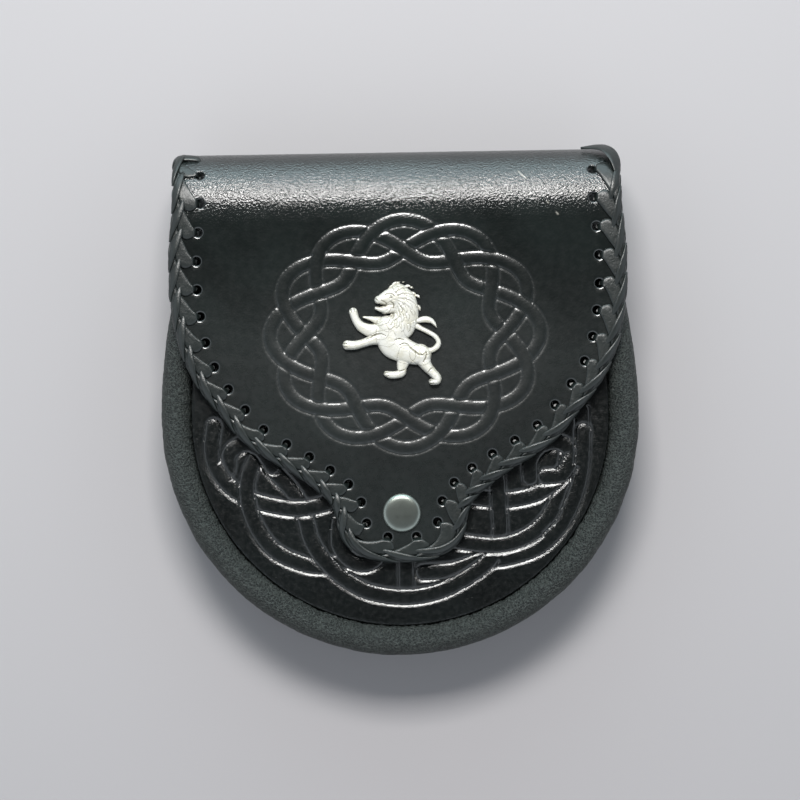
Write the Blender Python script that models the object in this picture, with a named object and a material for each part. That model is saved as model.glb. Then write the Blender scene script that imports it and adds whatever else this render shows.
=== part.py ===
"""Sporran pouch: a day pouch of stiff tooled leather with a soft gusset, lying on its back.

Metres. +Z comes out of the pouch's face, +Y runs to its top and +X to the right as seen from the
front. The origin is in the middle of the footprint, on the surface that the pouch lies on.
"""

import math

import bmesh
import bpy
from mathutils import Vector

MM = 0.001

# Whole pouch
OVERALL_HEIGHT = 196.0 * MM
BODY_WIDTH = 185.4 * MM
OVERALL_DEPTH = 48.0 * MM
GAP = 0.3 * MM

# One hide: back panel, top roll and flap
HIDE_THICKNESS = 3.0 * MM
BACK_EDGE_INSET = 2.0 * MM
ROLL_INSET = 8.1 * MM
FLAP_INSET = 6.3 * MM
FLAP_WIDEST_BELOW_ROLL = 17.5 * MM
FLAP_SIDE_LENGTH = 34.0 * MM
SHOULDER_DROP = 85.1 * MM
TAB_HALF_WIDTH = 24.0 * MM
TAB_DROP = 17.5 * MM

# Lace holes and edge lacing
HOLE_COUNT = 36
HOLE_DIAMETER = 3.2 * MM
HOLE_INSET = 9.0 * MM
LACING_THICKNESS = 1.5 * MM
LACING_START_DEG = 58.0
FIRST_HOLE_DEG = 38.0

# Gusset, rolled over a rim at the front
MOUTH_INSET = 14.3 * MM
GUSSET_TOP_BELOW_ROLL = 5.5 * MM
GUSSET_WALL = 1.8 * MM
RIM_WIDTH = 11.2 * MM
RIM_RISE = 4.5 * MM
FLAP_RISE_OVER_RIM = 3.4 * MM
GUSSET_FLANGE = 6.5 * MM
GUSSET_WAIST = 2.2 * MM

# Front panel
PANEL_THICKNESS = 2.5 * MM
PANEL_CROWN = 0.6 * MM
PANEL_TOP_BELOW_ROLL = 17.5 * MM

# Belt loops
LOOP_STAND = 7.0 * MM
LOOP_THICKNESS = 2.0 * MM
LOOP_WIDTH = 24.0 * MM
LOOP_SPACING = 76.0 * MM
LOOP_CLEAR_LENGTH = 70.0 * MM
LOOP_RAMP = 5.0 * MM
LOOP_FOOT = 11.0 * MM
LOOP_CENTRE_BELOW_ROLL = 57.5 * MM

# Press stud
SNAP_ABOVE_TIP = 17.5 * MM
SNAP_CAP_DIAMETER = 15.0 * MM
SNAP_CAP_RISE = 1.9 * MM
SNAP_POST_DIAMETER = 4.0 * MM
SOCKET_DIAMETER = 11.0 * MM
SOCKET_BORE_DIAMETER = 5.2 * MM
STUD_POST_DIAMETER = 3.6 * MM
STUD_FLANGE_DIAMETER = 9.5 * MM
STUD_FLANGE_HEIGHT = 0.5 * MM
PIN_CLEARANCE = 0.3 * MM

# Lion badge
LION_HEIGHT = 39.0 * MM
LION_CENTRE_X = -2.2 * MM
LION_CENTRE_BELOW_ROLL = 51.3 * MM
LION_RELIEF = 4.2 * MM
LION_EDGE = 0.6 * MM
BADGE_POST_DIAMETER = 2.4 * MM
BADGE_HEAD_DIAMETER = 5.0 * MM
BADGE_HEAD_HEIGHT = 0.8 * MM

# Levels and centres that follow from the sizes above
ROLL_RADIUS = (OVERALL_DEPTH - LOOP_STAND) / 2
ROLL_MID_RADIUS = ROLL_RADIUS - HIDE_THICKNESS / 2
ROLL_Y = OVERALL_HEIGHT / 2 - ROLL_RADIUS
ROLL_Z = LOOP_STAND + ROLL_RADIUS
BODY_RADIUS = BODY_WIDTH / 2
BODY_ROUND_Y = BODY_RADIUS - OVERALL_HEIGHT / 2
ROLL_HALF_WIDTH = BODY_RADIUS - ROLL_INSET
FLAP_HALF_WIDTH = BODY_RADIUS - FLAP_INSET
MOUTH_HALF_WIDTH = BODY_RADIUS - MOUTH_INSET
BACK_FRONT_Z = LOOP_STAND + HIDE_THICKNESS
PANEL_FACE_Z = OVERALL_DEPTH - HIDE_THICKNESS - LACING_THICKNESS - FLAP_RISE_OVER_RIM - RIM_RISE
PANEL_BACK_Z = PANEL_FACE_Z - PANEL_THICKNESS
FLAP_LENGTH = FLAP_SIDE_LENGTH + SHOULDER_DROP + TAB_DROP
FLAP_TIP_Z = PANEL_FACE_Z + PANEL_CROWN + LACING_THICKNESS + HIDE_THICKNESS + 2 * GAP
FLAP_SLOPE = math.atan2(OVERALL_DEPTH - FLAP_TIP_Z, FLAP_LENGTH)
ROLL_LENGTH = (math.pi + FLAP_SLOPE) * ROLL_MID_RADIUS
LOOP_CENTRE_Y = ROLL_Y - LOOP_CENTRE_BELOW_ROLL
SNAP_CENTRE_Y = ROLL_Y - (FLAP_LENGTH - SNAP_ABOVE_TIP) * math.cos(FLAP_SLOPE)
LION_CENTRE_Y = ROLL_Y - LION_CENTRE_BELOW_ROLL
GUSSET_TOP_Y = ROLL_Y - GUSSET_TOP_BELOW_ROLL
PANEL_TOP_Y = ROLL_Y - PANEL_TOP_BELOW_ROLL

# How finely round forms are cut into facets
ROUND_STEPS = 25
ROLL_STEPS = 16
FLAP_SIDE_STEPS = 5
BODY_SIDE_STEPS = 8
RIM_STEPS = 6
EDGE_STEPS = 2
TURNED_SIDES = 20
HOLE_SIDES = 8
LIMB_SIDES = 8

# Flap edge from the end of its straight side to the tab: shares of the width beyond the tab and of
# the shoulder's drop, then of the hole inset and of the widest hole pitch.
SHOULDER_ROWS = (
    # across, down, inset, pitch
    (1.000, 0.000, 1.00, 0.98),
    (0.955, 0.209, 0.97, 0.92),
    (0.875, 0.360, 0.88, 0.90),
    (0.800, 0.447, 0.82, 0.92),
    (0.705, 0.532, 0.80, 0.93),
    (0.583, 0.643, 0.78, 0.95),
    (0.440, 0.723, 0.78, 0.95),
    (0.283, 0.792, 0.80, 0.90),
    (0.157, 0.858, 0.85, 0.85),
    (0.046, 0.931, 0.95, 0.78),
    (0.000, 1.000, 1.05, 0.76),
)

# Tab edge: shares of the tab's half width and of its drop, then as above.
TAB_ROWS = (
    # across, down, inset, pitch
    (0.943, 0.389, 1.05, 0.80),
    (0.827, 0.657, 1.00, 0.95),
    (0.620, 0.863, 0.92, 1.00),
    (0.308, 0.971, 0.88, 1.00),
    (0.000, 1.000, 0.88, 1.00),
)

# Gusset's side wall between rim and rear seam: shares of the waist and of the wall's height.
SIDE_ROWS = (
    # in, down
    (0.30, 0.15),
    (1.00, 0.50),
    (0.95, 0.80),
)

# Lion rampant facing left. Each limb: share of the relief, then rows along its middle in per cent
# of the badge's height, from the badge's centre.
LION_LIMBS = {
    "trunk": (0.90, (
        # across, up, half width
        (-5.0, 10.5, 14.0),
        (-0.5, 1.5, 17.0),
        (3.5, -10.0, 14.5),
        (12.5, -16.5, 11.5),
        (23.5, -18.0, 10.0),
        (31.0, -20.0, 8.0),
    )),
    "breast": (0.60, (
        (-25.0, 17.0, 1.6),
        (-18.5, 15.0, 4.0),
        (-11.0, 12.0, 7.0),
        (-3.5, 9.0, 10.0),
    )),
    "mane": (1.00, (
        (5.0, 12.0, 16.5),
        (8.5, 20.0, 15.5),
        (12.0, 27.0, 12.5),
        (8.0, 36.0, 11.5),
    )),
    "head": (0.95, (
        (4.0, 38.0, 10.5),
        (-5.0, 36.5, 7.0),
        (-11.0, 34.5, 4.5),
        (-13.5, 34.0, 3.0),
    )),
    "crown": (0.70, (
        (5.0, 45.0, 4.5),
        (13.0, 40.5, 4.5),
    )),
    "jaw": (0.70, (
        (2.0, 29.0, 8.0),
        (-6.5, 26.0, 5.0),
        (-10.5, 26.0, 3.8),
        (-14.5, 27.3, 2.0),
    )),
    "upper_foreleg": (0.62, (
        (-12.5, 1.5, 7.0),
        (-21.5, 3.5, 6.0),
        (-27.5, 7.0, 4.8),
        (-32.0, 11.5, 4.0),
        (-35.0, 17.0, 3.8),
        (-37.3, 22.5, 4.3),
    )),
    "lower_foreleg": (0.72, (
        (-11.0, -3.5, 7.0),
        (-19.5, -5.0, 5.5),
        (-25.5, -7.5, 4.6),
        (-32.0, -9.3, 4.5),
        (-38.0, -9.6, 4.9),
        (-43.5, -9.3, 4.7),
    )),
    "left_hind_leg": (0.62, (
        (12.5, -22.0, 8.5),
        (9.5, -31.0, 5.4),
        (9.0, -36.0, 4.8),
        (6.0, -39.5, 4.0),
        (1.0, -40.5, 3.4),
        (-6.0, -39.5, 3.2),
    )),
    "right_hind_leg": (0.75, (
        (27.5, -23.0, 9.5),
        (32.0, -29.0, 6.5),
        (37.3, -35.0, 5.0),
        (43.0, -39.5, 4.4),
        (44.5, -43.5, 4.0),
        (38.0, -45.8, 3.5),
    )),
    "tail": (0.48, (
        (34.0, -17.5, 4.5),
        (43.2, -12.7, 3.1),
        (44.6, -8.2, 2.6),
        (40.2, -2.1, 2.3),
        (32.0, 2.3, 2.2),
        (21.0, 6.5, 2.4),
    )),
    "tail_tuft": (0.50, (
        (20.0, 9.6, 2.6),
        (26.6, 12.8, 2.9),
        (32.7, 13.6, 3.4),
        (38.0, 11.3, 2.8),
        (43.0, 7.2, 1.0),
    )),
}

# Where the badge's two posts stand, in per cent of its height from its centre
BADGE_POSTS = ((-3.0, 8.0), (22.0, -19.0))


# Meshes and materials

def clear_scene():
    """Remove whatever objects the file opens with."""
    for thing in list(bpy.data.objects):
        bpy.data.objects.remove(thing, do_unlink=True)


def finish(name, colour, roughness, metallic=0.0):
    """A Principled material of one colour."""
    material = bpy.data.materials.new(name)
    material.use_nodes = True
    shader = material.node_tree.nodes["Principled BSDF"]
    shader.inputs["Base Color"].default_value = (*colour, 1.0)
    shader.inputs["Roughness"].default_value = roughness
    shader.inputs["Metallic"].default_value = metallic
    material.diffuse_color = (*colour, 1.0)
    return material


def lofted(bm, rings):
    """Skin a row of closed rings with equal numbers of points, and cap both ends."""
    rows = [[bm.verts.new(point) for point in ring] for ring in rings]
    count = len(rows[0])
    for lower, upper in zip(rows, rows[1:]):
        for i in range(count):
            j = (i + 1) % count
            bm.faces.new((lower[i], lower[j], upper[j], upper[i]))
    bm.faces.new(rows[0][::-1])
    bm.faces.new(rows[-1])


def turned(bm, profile, place, sides):
    """Turn a profile of (radius, height) rows, from the axis to the axis, about a placed axis."""
    rings = []
    for radius, height in profile:
        if radius == 0.0:
            rings.append([bm.verts.new(place(0.0, 0.0, height))])
            continue
        ring = []
        for k in range(sides):
            angle = 2 * math.pi * k / sides
            ring.append(bm.verts.new(place(radius * math.cos(angle), radius * math.sin(angle), height)))
        rings.append(ring)
    for lower, upper in zip(rings, rings[1:]):
        for k in range(sides):
            m = (k + 1) % sides
            corners = [lower[k % len(lower)], lower[m % len(lower)],
                       upper[m % len(upper)], upper[k % len(upper)]]
            distinct = [c for i, c in enumerate(corners) if c not in corners[:i]]
            bm.faces.new(distinct)


def made(name, bm, material, smooth_deg=35.0):
    """Turn a bmesh into an object with its faces pointing out."""
    bmesh.ops.recalc_face_normals(bm, faces=bm.faces)
    mesh = bpy.data.meshes.new(name)
    bm.to_mesh(mesh)
    bm.free()
    mesh.materials.append(material)
    mesh.shade_smooth()
    mesh.set_sharp_from_angle(angle=math.radians(smooth_deg))
    thing = bpy.data.objects.new(name, mesh)
    bpy.context.scene.collection.objects.link(thing)
    return thing


def cut(thing, cutter, overlapping=False):
    """Cut one object by another, which stays in the file as a wire guide."""
    cutter.hide_render = True
    cutter.display_type = "WIRE"
    modifier = thing.modifiers.new(cutter.name, "BOOLEAN")
    modifier.operation = "DIFFERENCE"
    modifier.solver = "EXACT"
    modifier.use_self = overlapping
    modifier.object = cutter


# Curves in a plane

def smooth_rows(rows, per_span):
    """Rows of numbers read more finely, from a smooth curve through them."""
    fine = []
    for i in range(len(rows) - 1):
        before = rows[max(i - 1, 0)]
        start, end = rows[i], rows[i + 1]
        after = rows[min(i + 2, len(rows) - 1)]
        for k in range(per_span):
            t = k / per_span
            fine.append(tuple(
                0.5 * (2 * b + (c - a) * t + (2 * a - 5 * b + 4 * c - d) * t * t
                       + (3 * b - a - 3 * c + d) * t ** 3)
                for a, b, c, d in zip(before, start, end, after)))
    fine.append(tuple(rows[-1]))
    return fine


def side_normals(points):
    """Unit vectors to the right of a path, at each of its points."""
    normals = []
    for i in range(len(points)):
        x0, y0 = points[max(i - 1, 0)][:2]
        x1, y1 = points[min(i + 1, len(points) - 1)][:2]
        length = math.hypot(x1 - x0, y1 - y0)
        normals.append(((y1 - y0) / length, (x0 - x1) / length))
    return normals


def thickened(path, thickness):
    """The closed outline of a strip that follows a path in its middle."""
    left, right = [], []
    for i, (x, y) in enumerate(path):
        steps = []
        for a, b in ((i - 1, i), (i, i + 1)):
            if a >= 0 and b < len(path):
                length = math.dist(path[a], path[b])
                steps.append(((path[b][1] - path[a][1]) / length, (path[a][0] - path[b][0]) / length))
        nx = sum(s[0] for s in steps) / len(steps)
        ny = sum(s[1] for s in steps) / len(steps)
        reach = thickness / 2 / (nx * nx + ny * ny)
        right.append((x + nx * reach, y + ny * reach))
        left.append((x - nx * reach, y - ny * reach))
    return left + right[::-1]


# The hide as it bends: back panel, roll, flap

def hide_place(s, x, h):
    """A point of the hide: s along it from the foot of the roll, x across, h off its middle outwards."""
    if s < 0.0:
        return Vector((x, ROLL_Y + s, ROLL_Z - ROLL_MID_RADIUS - h))
    angle = min(s, ROLL_LENGTH) / ROLL_MID_RADIUS
    past = max(s - ROLL_LENGTH, 0.0)
    radius = ROLL_MID_RADIUS + h
    y = ROLL_Y + radius * math.sin(angle) + past * math.cos(angle)
    z = ROLL_Z - radius * math.cos(angle) + past * math.sin(angle)
    return Vector((x, y, z))


def flap_s(y):
    """Where along the hide the flap's outer face has the height y on the pouch."""
    return ROLL_LENGTH + (ROLL_Y - ROLL_RADIUS * math.sin(FLAP_SLOPE) - y) / math.cos(FLAP_SLOPE)


def flap_place(centre_x, centre_y):
    """Places a piece on the flap's outer face: x, y in its plane and height above the face."""
    def place(x, y, height):
        return hide_place(flap_s(centre_y) - y, centre_x + x, HIDE_THICKNESS / 2 + height)
    return place


def body_half_width(y):
    """Half the gusset's outer width at a height y: a half round below, drawn in above."""
    if y <= BODY_ROUND_Y:
        return math.sqrt(max(BODY_RADIUS ** 2 - (y - BODY_ROUND_Y) ** 2, 0.0))
    share = (y - BODY_ROUND_Y) / (GUSSET_TOP_Y - BODY_ROUND_Y)
    return BODY_RADIUS - (BODY_RADIUS - MOUTH_HALF_WIDTH) * share ** 2


def round_rows(radius):
    """Half widths and heights of the round bottom, from its lowest facet to its widest row."""
    rows = []
    for k in range(ROUND_STEPS // 2 + 1):
        angle = math.pi * (k + 0.5) / ROUND_STEPS
        rows.append((radius * math.sin(angle), BODY_ROUND_Y - radius * math.cos(angle)))
    return rows


def flap_edge():
    """The right half of the flap's edge below the roll: rows of s, x, hole inset and hole pitch."""
    reach = FLAP_HALF_WIDTH - TAB_HALF_WIDTH
    rows = []
    for across, down, inset, pitch in SHOULDER_ROWS:
        rows.append((down * SHOULDER_DROP, TAB_HALF_WIDTH + across * reach, inset * HOLE_INSET, pitch))
    for across, down, inset, pitch in TAB_ROWS:
        rows.append((SHOULDER_DROP + down * TAB_DROP, across * TAB_HALF_WIDTH, inset * HOLE_INSET, pitch))
    start = ROLL_LENGTH + FLAP_SIDE_LENGTH
    return [(start + down, x, inset, pitch)
            for down, x, inset, pitch in smooth_rows(rows, EDGE_STEPS)]


def laced_edge():
    """The right half of the edge that is laced, from its start on the roll to the tab's tip."""
    rows = []
    start = ROLL_LENGTH - math.radians(LACING_START_DEG) * ROLL_MID_RADIUS
    roll_steps = ROLL_STEPS // 2
    for k in range(roll_steps):
        rows.append((start + (ROLL_LENGTH - start) * k / roll_steps, ROLL_HALF_WIDTH, HOLE_INSET, 1.0))
    for k in range(FLAP_SIDE_STEPS):
        s = ROLL_LENGTH + FLAP_SIDE_LENGTH * k / FLAP_SIDE_STEPS
        widening = min((s - ROLL_LENGTH) / FLAP_WIDEST_BELOW_ROLL, 1.0)
        x = ROLL_HALF_WIDTH + (FLAP_HALF_WIDTH - ROLL_HALF_WIDTH) * widening
        rows.append((s, x, HOLE_INSET, 1.0))
    return rows + flap_edge()


def lace_holes():
    """Places of the lace holes, as s and x, spread along a line inside the laced edge."""
    edge = laced_edge()
    mirrored = [(s, -x, inset, pitch) for s, x, inset, pitch in edge]
    whole = mirrored[:-1] + edge[::-1]
    line = [(s - nx * inset, x - ny * inset, pitch)
            for (s, x, inset, pitch), (nx, ny) in zip(whole, side_normals(whole))]
    first = ROLL_LENGTH - math.radians(FIRST_HOLE_DEG) * ROLL_MID_RADIUS
    line = [row for row in line if row[0] >= first]
    travelled = [0.0]
    for a, b in zip(line, line[1:]):
        travelled.append(travelled[-1] + math.dist(a[:2], b[:2]) / ((a[2] + b[2]) / 2))
    holes = []
    for k in range(HOLE_COUNT):
        wanted = travelled[-1] * k / (HOLE_COUNT - 1)
        i = max(j for j in range(len(line) - 1) if travelled[j] <= wanted + 1e-12)
        t = (wanted - travelled[i]) / (travelled[i + 1] - travelled[i])
        holes.append(tuple(a + (b - a) * t for a, b in zip(line[i][:2], line[i + 1][:2])))
    return holes


def back_and_flap(material):
    """One hide: round back panel, roll over the top and flap, punched for lace, badge and stud."""
    rows = []
    for x, y in round_rows(BODY_RADIUS - BACK_EDGE_INSET):
        rows.append((y - ROLL_Y, x))
    for k in range(1, BODY_SIDE_STEPS):
        y = BODY_ROUND_Y + (ROLL_Y - BODY_ROUND_Y) * k / BODY_SIDE_STEPS
        rows.append((y - ROLL_Y, max(body_half_width(y) - BACK_EDGE_INSET, ROLL_HALF_WIDTH)))
    for k in range(ROLL_STEPS):
        rows.append((ROLL_LENGTH * k / ROLL_STEPS, ROLL_HALF_WIDTH))
    below_roll = [(s, x) for s, x, inset, pitch in laced_edge() if s >= ROLL_LENGTH - 1e-9]
    rows += below_roll[:-1]
    half = HIDE_THICKNESS / 2
    shares = (-1.0, -0.5, 0.0, 0.5, 1.0)
    bm = bmesh.new()
    lofted(bm, [[hide_place(s, x * share, half) for share in shares]
                + [hide_place(s, x * share, -half) for share in shares[::-1]] for s, x in rows])
    hide = made("back_and_flap", bm, material)
    punch = bmesh.new()
    places = [(s, x, HOLE_DIAMETER) for s, x in lace_holes()]
    for across, up in BADGE_POSTS:
        places.append((flap_s(LION_CENTRE_Y) - up * LION_HEIGHT / 100,
                       LION_CENTRE_X + across * LION_HEIGHT / 100,
                       BADGE_POST_DIAMETER + 2 * PIN_CLEARANCE))
    places.append((flap_s(SNAP_CENTRE_Y), 0.0, SNAP_POST_DIAMETER + 2 * PIN_CLEARANCE))
    for s, x, diameter in places:
        middle = hide_place(s, x, 0.0)
        out = (hide_place(s, x, half) - middle).normalized()
        along = out.cross(Vector((1.0, 0.0, 0.0)))
        rings = []
        for reach in (-HIDE_THICKNESS, HIDE_THICKNESS):
            ring = []
            for k in range(HOLE_SIDES):
                angle = 2 * math.pi * (k + 0.5) / HOLE_SIDES
                radial = Vector((1.0, 0.0, 0.0)) * math.cos(angle) + along * math.sin(angle)
                ring.append(middle + out * reach + radial * diameter / 2)
            rings.append(ring)
        lofted(punch, rings)
    cut(hide, made("hide_punch", punch, material))
    return hide


# Soft and laced pieces

def gusset(material):
    """A soft strip round the sides and bottom, rolled over a rim in front and seamed behind."""
    half = GUSSET_WALL / 2
    inner = -(RIM_WIDTH + GUSSET_FLANGE)
    front_z = PANEL_BACK_Z - GAP - half
    rear_z = BACK_FRONT_Z + GAP + half
    crown_half = RIM_WIDTH / 2 - half
    shoulder_z = PANEL_FACE_Z - RIM_RISE / 4
    crown_height = PANEL_FACE_Z + RIM_RISE - half - shoulder_z
    section = [(inner, front_z), (-RIM_WIDTH + half, front_z)]
    for k in range(RIM_STEPS + 1):
        angle = math.pi * (1 - k / RIM_STEPS)
        section.append((-RIM_WIDTH / 2 + crown_half * math.cos(angle),
                        shoulder_z + crown_height * math.sin(angle)))
    for inward, down in SIDE_ROWS:
        section.append((-half - inward * GUSSET_WAIST, shoulder_z + down * (rear_z - shoulder_z)))
    section.append((-BACK_EDGE_INSET - 2 * half, rear_z + half / 2))
    section.append((-BACK_EDGE_INSET - 4 * half, rear_z))
    section.append((inner, rear_z))
    outline = thickened(section, GUSSET_WALL)
    right = round_rows(BODY_RADIUS)
    for k in range(1, BODY_SIDE_STEPS + 1):
        y = BODY_ROUND_Y + (GUSSET_TOP_Y - BODY_ROUND_Y) * k / BODY_SIDE_STEPS
        right.append((body_half_width(y), y))
    path = [(-x, y) for x, y in right[::-1]] + right
    bm = bmesh.new()
    rings = []
    for (x, y), (nx, ny) in zip(path, side_normals(path)):
        rings.append([(x + nx * u, y + ny * u, z) for u, z in outline])
    lofted(bm, rings)
    return made("gusset", bm, material)


def front_panel(material):
    """A stiff tooled panel set inside the gusset's rim, slightly crowned, with an open mouth edge."""
    inset = RIM_WIDTH + GAP
    rows = round_rows(BODY_RADIUS - inset)
    for k in range(1, BODY_SIDE_STEPS + 1):
        y = BODY_ROUND_Y + (PANEL_TOP_Y - BODY_ROUND_Y) * k / BODY_SIDE_STEPS
        drawn_in = 2 * (BODY_RADIUS - body_half_width(y)) / (y - BODY_ROUND_Y)
        rows.append((body_half_width(y) - inset * math.hypot(1.0, drawn_in), y))
    widest = BODY_RADIUS - inset
    shares = (-1.0, -0.67, -0.33, 0.0, 0.33, 0.67, 1.0)

    def crowned(x, y):
        lift = max(1 - (x / widest) ** 2 - min((y - BODY_ROUND_Y) / widest, 0.0) ** 2, 0.0)
        return PANEL_CROWN * lift

    bm = bmesh.new()
    rings = []
    for x, y in rows:
        face = [(x * share, y, PANEL_FACE_Z + crowned(x * share, y)) for share in shares]
        rings.append(face + [(a, b, c - PANEL_THICKNESS) for a, b, c in face[::-1]])
    lofted(bm, rings)
    panel = made("front_panel", bm, material)
    punch = bmesh.new()
    radius = STUD_POST_DIAMETER / 2 + PIN_CLEARANCE
    low = PANEL_BACK_Z - PANEL_THICKNESS
    high = PANEL_FACE_Z + PANEL_THICKNESS
    turned(punch, ((0.0, low), (radius, low), (radius, high), (0.0, high)),
           lambda x, y, z: (x, SNAP_CENTRE_Y + y, z), HOLE_SIDES * 2)
    cut(panel, made("panel_punch", punch, material))
    return panel


def edge_lacing(material):
    """The plaited edge lace as one band that wraps the flap's edge between its holes."""
    edge = laced_edge()
    mirrored = [(s, -x, inset, pitch) for s, x, inset, pitch in edge]
    path = mirrored[:-1] + edge[::-1]
    inner = HIDE_THICKNESS / 2 + GAP
    outer = inner + LACING_THICKNESS
    bm = bmesh.new()
    rings = []
    for (s, x, inset, pitch), (ns, nx) in zip(path, side_normals(path)):
        reach = inset - HOLE_DIAMETER / 2 - GAP
        section = ((-reach, inner), (GAP, inner), (GAP, -inner), (-reach, -inner), (-reach, -outer),
                   (GAP + LACING_THICKNESS / 2, -outer), (GAP + LACING_THICKNESS, -inner / 2),
                   (GAP + LACING_THICKNESS, inner / 2), (GAP + LACING_THICKNESS / 2, outer),
                   (-reach, outer))
        rings.append([hide_place(s + ns * u, x + nx * u, h) for u, h in section])
    lofted(bm, rings)
    return made("edge_lacing", bm, material)


def belt_loop(name, centre_x, material):
    """A flat leather loop on the back, open to both sides for a belt."""
    foot_z = LOOP_STAND - GAP - LOOP_THICKNESS / 2
    bridge_z = LOOP_THICKNESS / 2
    half = LOOP_CLEAR_LENGTH / 2
    ends = ((half + LOOP_RAMP + LOOP_FOOT, foot_z), (half + LOOP_RAMP, foot_z), (half, bridge_z))
    path = [(-y, z) for y, z in ends] + [(y, z) for y, z in ends[::-1]]
    outline = thickened(path, LOOP_THICKNESS)
    bm = bmesh.new()
    lofted(bm, [[(centre_x + side * LOOP_WIDTH / 2, LOOP_CENTRE_Y + y, z) for y, z in outline]
                for side in (-1, 1)])
    return made(name, bm, material)


# Metal pieces

def stud_seat():
    """Heights that the stud's two halves share: the panel's face and the stud's flange on it."""
    panel_half = BODY_RADIUS - RIM_WIDTH - GAP
    crown = PANEL_CROWN * (1 - min((SNAP_CENTRE_Y - BODY_ROUND_Y) / panel_half, 0.0) ** 2)
    face = PANEL_FACE_Z + crown + GAP
    return face, face + STUD_FLANGE_HEIGHT


def snap_cap(material):
    """The press stud's upper half: domed cap, post through the flap and socket beneath it."""
    place = flap_place(0.0, SNAP_CENTRE_Y)
    tilt = SOCKET_DIAMETER / 2 * math.tan(FLAP_SLOPE)
    cap = SNAP_CAP_DIAMETER / 2
    post = SNAP_POST_DIAMETER / 2
    socket = SOCKET_DIAMETER / 2
    bore = SOCKET_BORE_DIAMETER / 2
    under = -HIDE_THICKNESS - GAP
    floor = under - (place(0.0, 0.0, under).z - stud_seat()[1] - GAP - tilt)
    profile = ((0.0, SNAP_CAP_RISE), (cap * 0.45, SNAP_CAP_RISE * 0.94), (cap * 0.8, SNAP_CAP_RISE * 0.74),
               (cap * 0.96, SNAP_CAP_RISE * 0.5), (cap, SNAP_CAP_RISE * 0.32), (cap * 0.97, GAP),
               (post, GAP), (post, under), (socket, under), (socket, floor),
               (bore, floor), (bore, under - GAP), (0.0, under - GAP))
    bm = bmesh.new()
    turned(bm, profile, place, TURNED_SIDES)
    return made("snap_cap", bm, material)


def snap_stud(material):
    """The press stud's lower half, riveted through the front panel."""
    post = STUD_POST_DIAMETER / 2
    flange = STUD_FLANGE_DIAMETER / 2
    face, flange_top = stud_seat()
    behind = face - PANEL_THICKNESS - 2 * GAP
    seat = flap_place(0.0, SNAP_CENTRE_Y)(0.0, 0.0, -HIDE_THICKNESS - 3 * GAP)
    profile = ((0.0, behind - STUD_FLANGE_HEIGHT), (flange, behind - STUD_FLANGE_HEIGHT), (flange, behind),
               (post, behind), (post, face), (flange, face), (flange, flange_top),
               (post, flange_top), (post, seat.z - GAP), (post * 0.6, seat.z), (0.0, seat.z))
    bm = bmesh.new()
    turned(bm, profile, lambda x, y, z: (x, SNAP_CENTRE_Y + y, z), TURNED_SIDES)
    return made("snap_stud", bm, material)


def limb(bm, rows, relief, place):
    """A rounded limb along its rows of (x, y, half width), blunt at both ends."""
    normals = side_normals(rows)
    stations = []
    for end, inward in ((0, 1), (-1, -1)):
        x, y, r = rows[end]
        tx, ty = -normals[end][1] * inward, normals[end][0] * inward
        ends = [(x - tx * r * back, y - ty * r * back, r * size, size)
                for back, size in ((0.92, 0.40), (0.60, 0.80))]
        stations.append(ends)
    full = ([(*row, normals[0]) for row in stations[0]]
            + [(x, y, r, 1.0, n) for (x, y, r), n in zip(rows, normals)]
            + [(*row, normals[-1]) for row in stations[1][::-1]])
    rings = []
    for x, y, r, size, (nx, ny) in full:
        ring = []
        for k in range(LIMB_SIDES):
            angle = 2 * math.pi * (k + 0.5) / LIMB_SIDES
            side = r * math.cos(angle)
            ring.append(place(x + nx * side, y + ny * side, LION_EDGE + relief * size * math.sin(angle)))
        rings.append(ring)
    lofted(bm, rings)


def lion_badge(material):
    """A cast lion rampant with a flat back and two posts riveted through the flap."""
    place = flap_place(LION_CENTRE_X, LION_CENTRE_Y)
    unit = LION_HEIGHT / 100
    bm = bmesh.new()
    for share, rows in LION_LIMBS.values():
        limb(bm, [(x * unit, y * unit, r * unit) for x, y, r in rows],
             share * LION_RELIEF - LION_EDGE, place)
    badge = made("lion_badge", bm, material)
    under = bmesh.new()
    corners = [(x * LION_HEIGHT, y * LION_HEIGHT) for x, y in ((-1, -1), (1, -1), (1, 1), (-1, 1))]
    lofted(under, [[place(x, y, h) for x, y in corners] for h in (-LION_HEIGHT, GAP)])
    cut(badge, made("badge_underside", under, material), overlapping=True)
    post = BADGE_POST_DIAMETER / 2
    head = BADGE_HEAD_DIAMETER / 2
    below = -HIDE_THICKNESS - GAP
    posts = bmesh.new()
    for across, up in BADGE_POSTS:
        turned(posts, ((0.0, LION_RELIEF / 2), (post, LION_RELIEF / 2), (post, below), (head, below),
                       (head, below - BADGE_HEAD_HEIGHT), (0.0, below - BADGE_HEAD_HEIGHT)),
               flap_place(LION_CENTRE_X + across * unit, LION_CENTRE_Y + up * unit), LIMB_SIDES)
    pins = made("badge_posts", posts, material)
    pins.hide_render = True
    pins.display_type = "WIRE"
    join = badge.modifiers.new("posts", "BOOLEAN")
    join.operation = "UNION"
    join.solver = "EXACT"
    join.object = pins
    return badge


clear_scene()
tooled = finish("tooled_leather", (0.012, 0.014, 0.014), 0.32)
soft = finish("soft_leather", (0.020, 0.024, 0.022), 0.62)
lace = finish("lace_leather", (0.014, 0.016, 0.016), 0.42)
nickel = finish("satin_nickel", (0.42, 0.43, 0.42), 0.38, 1.0)
bright = finish("bright_cast_metal", (0.90, 0.89, 0.84), 0.30, 1.0)
back_and_flap(tooled)
front_panel(tooled)
gusset(soft)
edge_lacing(lace)
snap_cap(nickel)
snap_stud(nickel)
lion_badge(bright)
for side_name, side in (("left", -1), ("right", 1)):
    belt_loop(f"belt_loop_{side_name}", side * LOOP_SPACING / 2, tooled)
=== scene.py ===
import math

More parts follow.
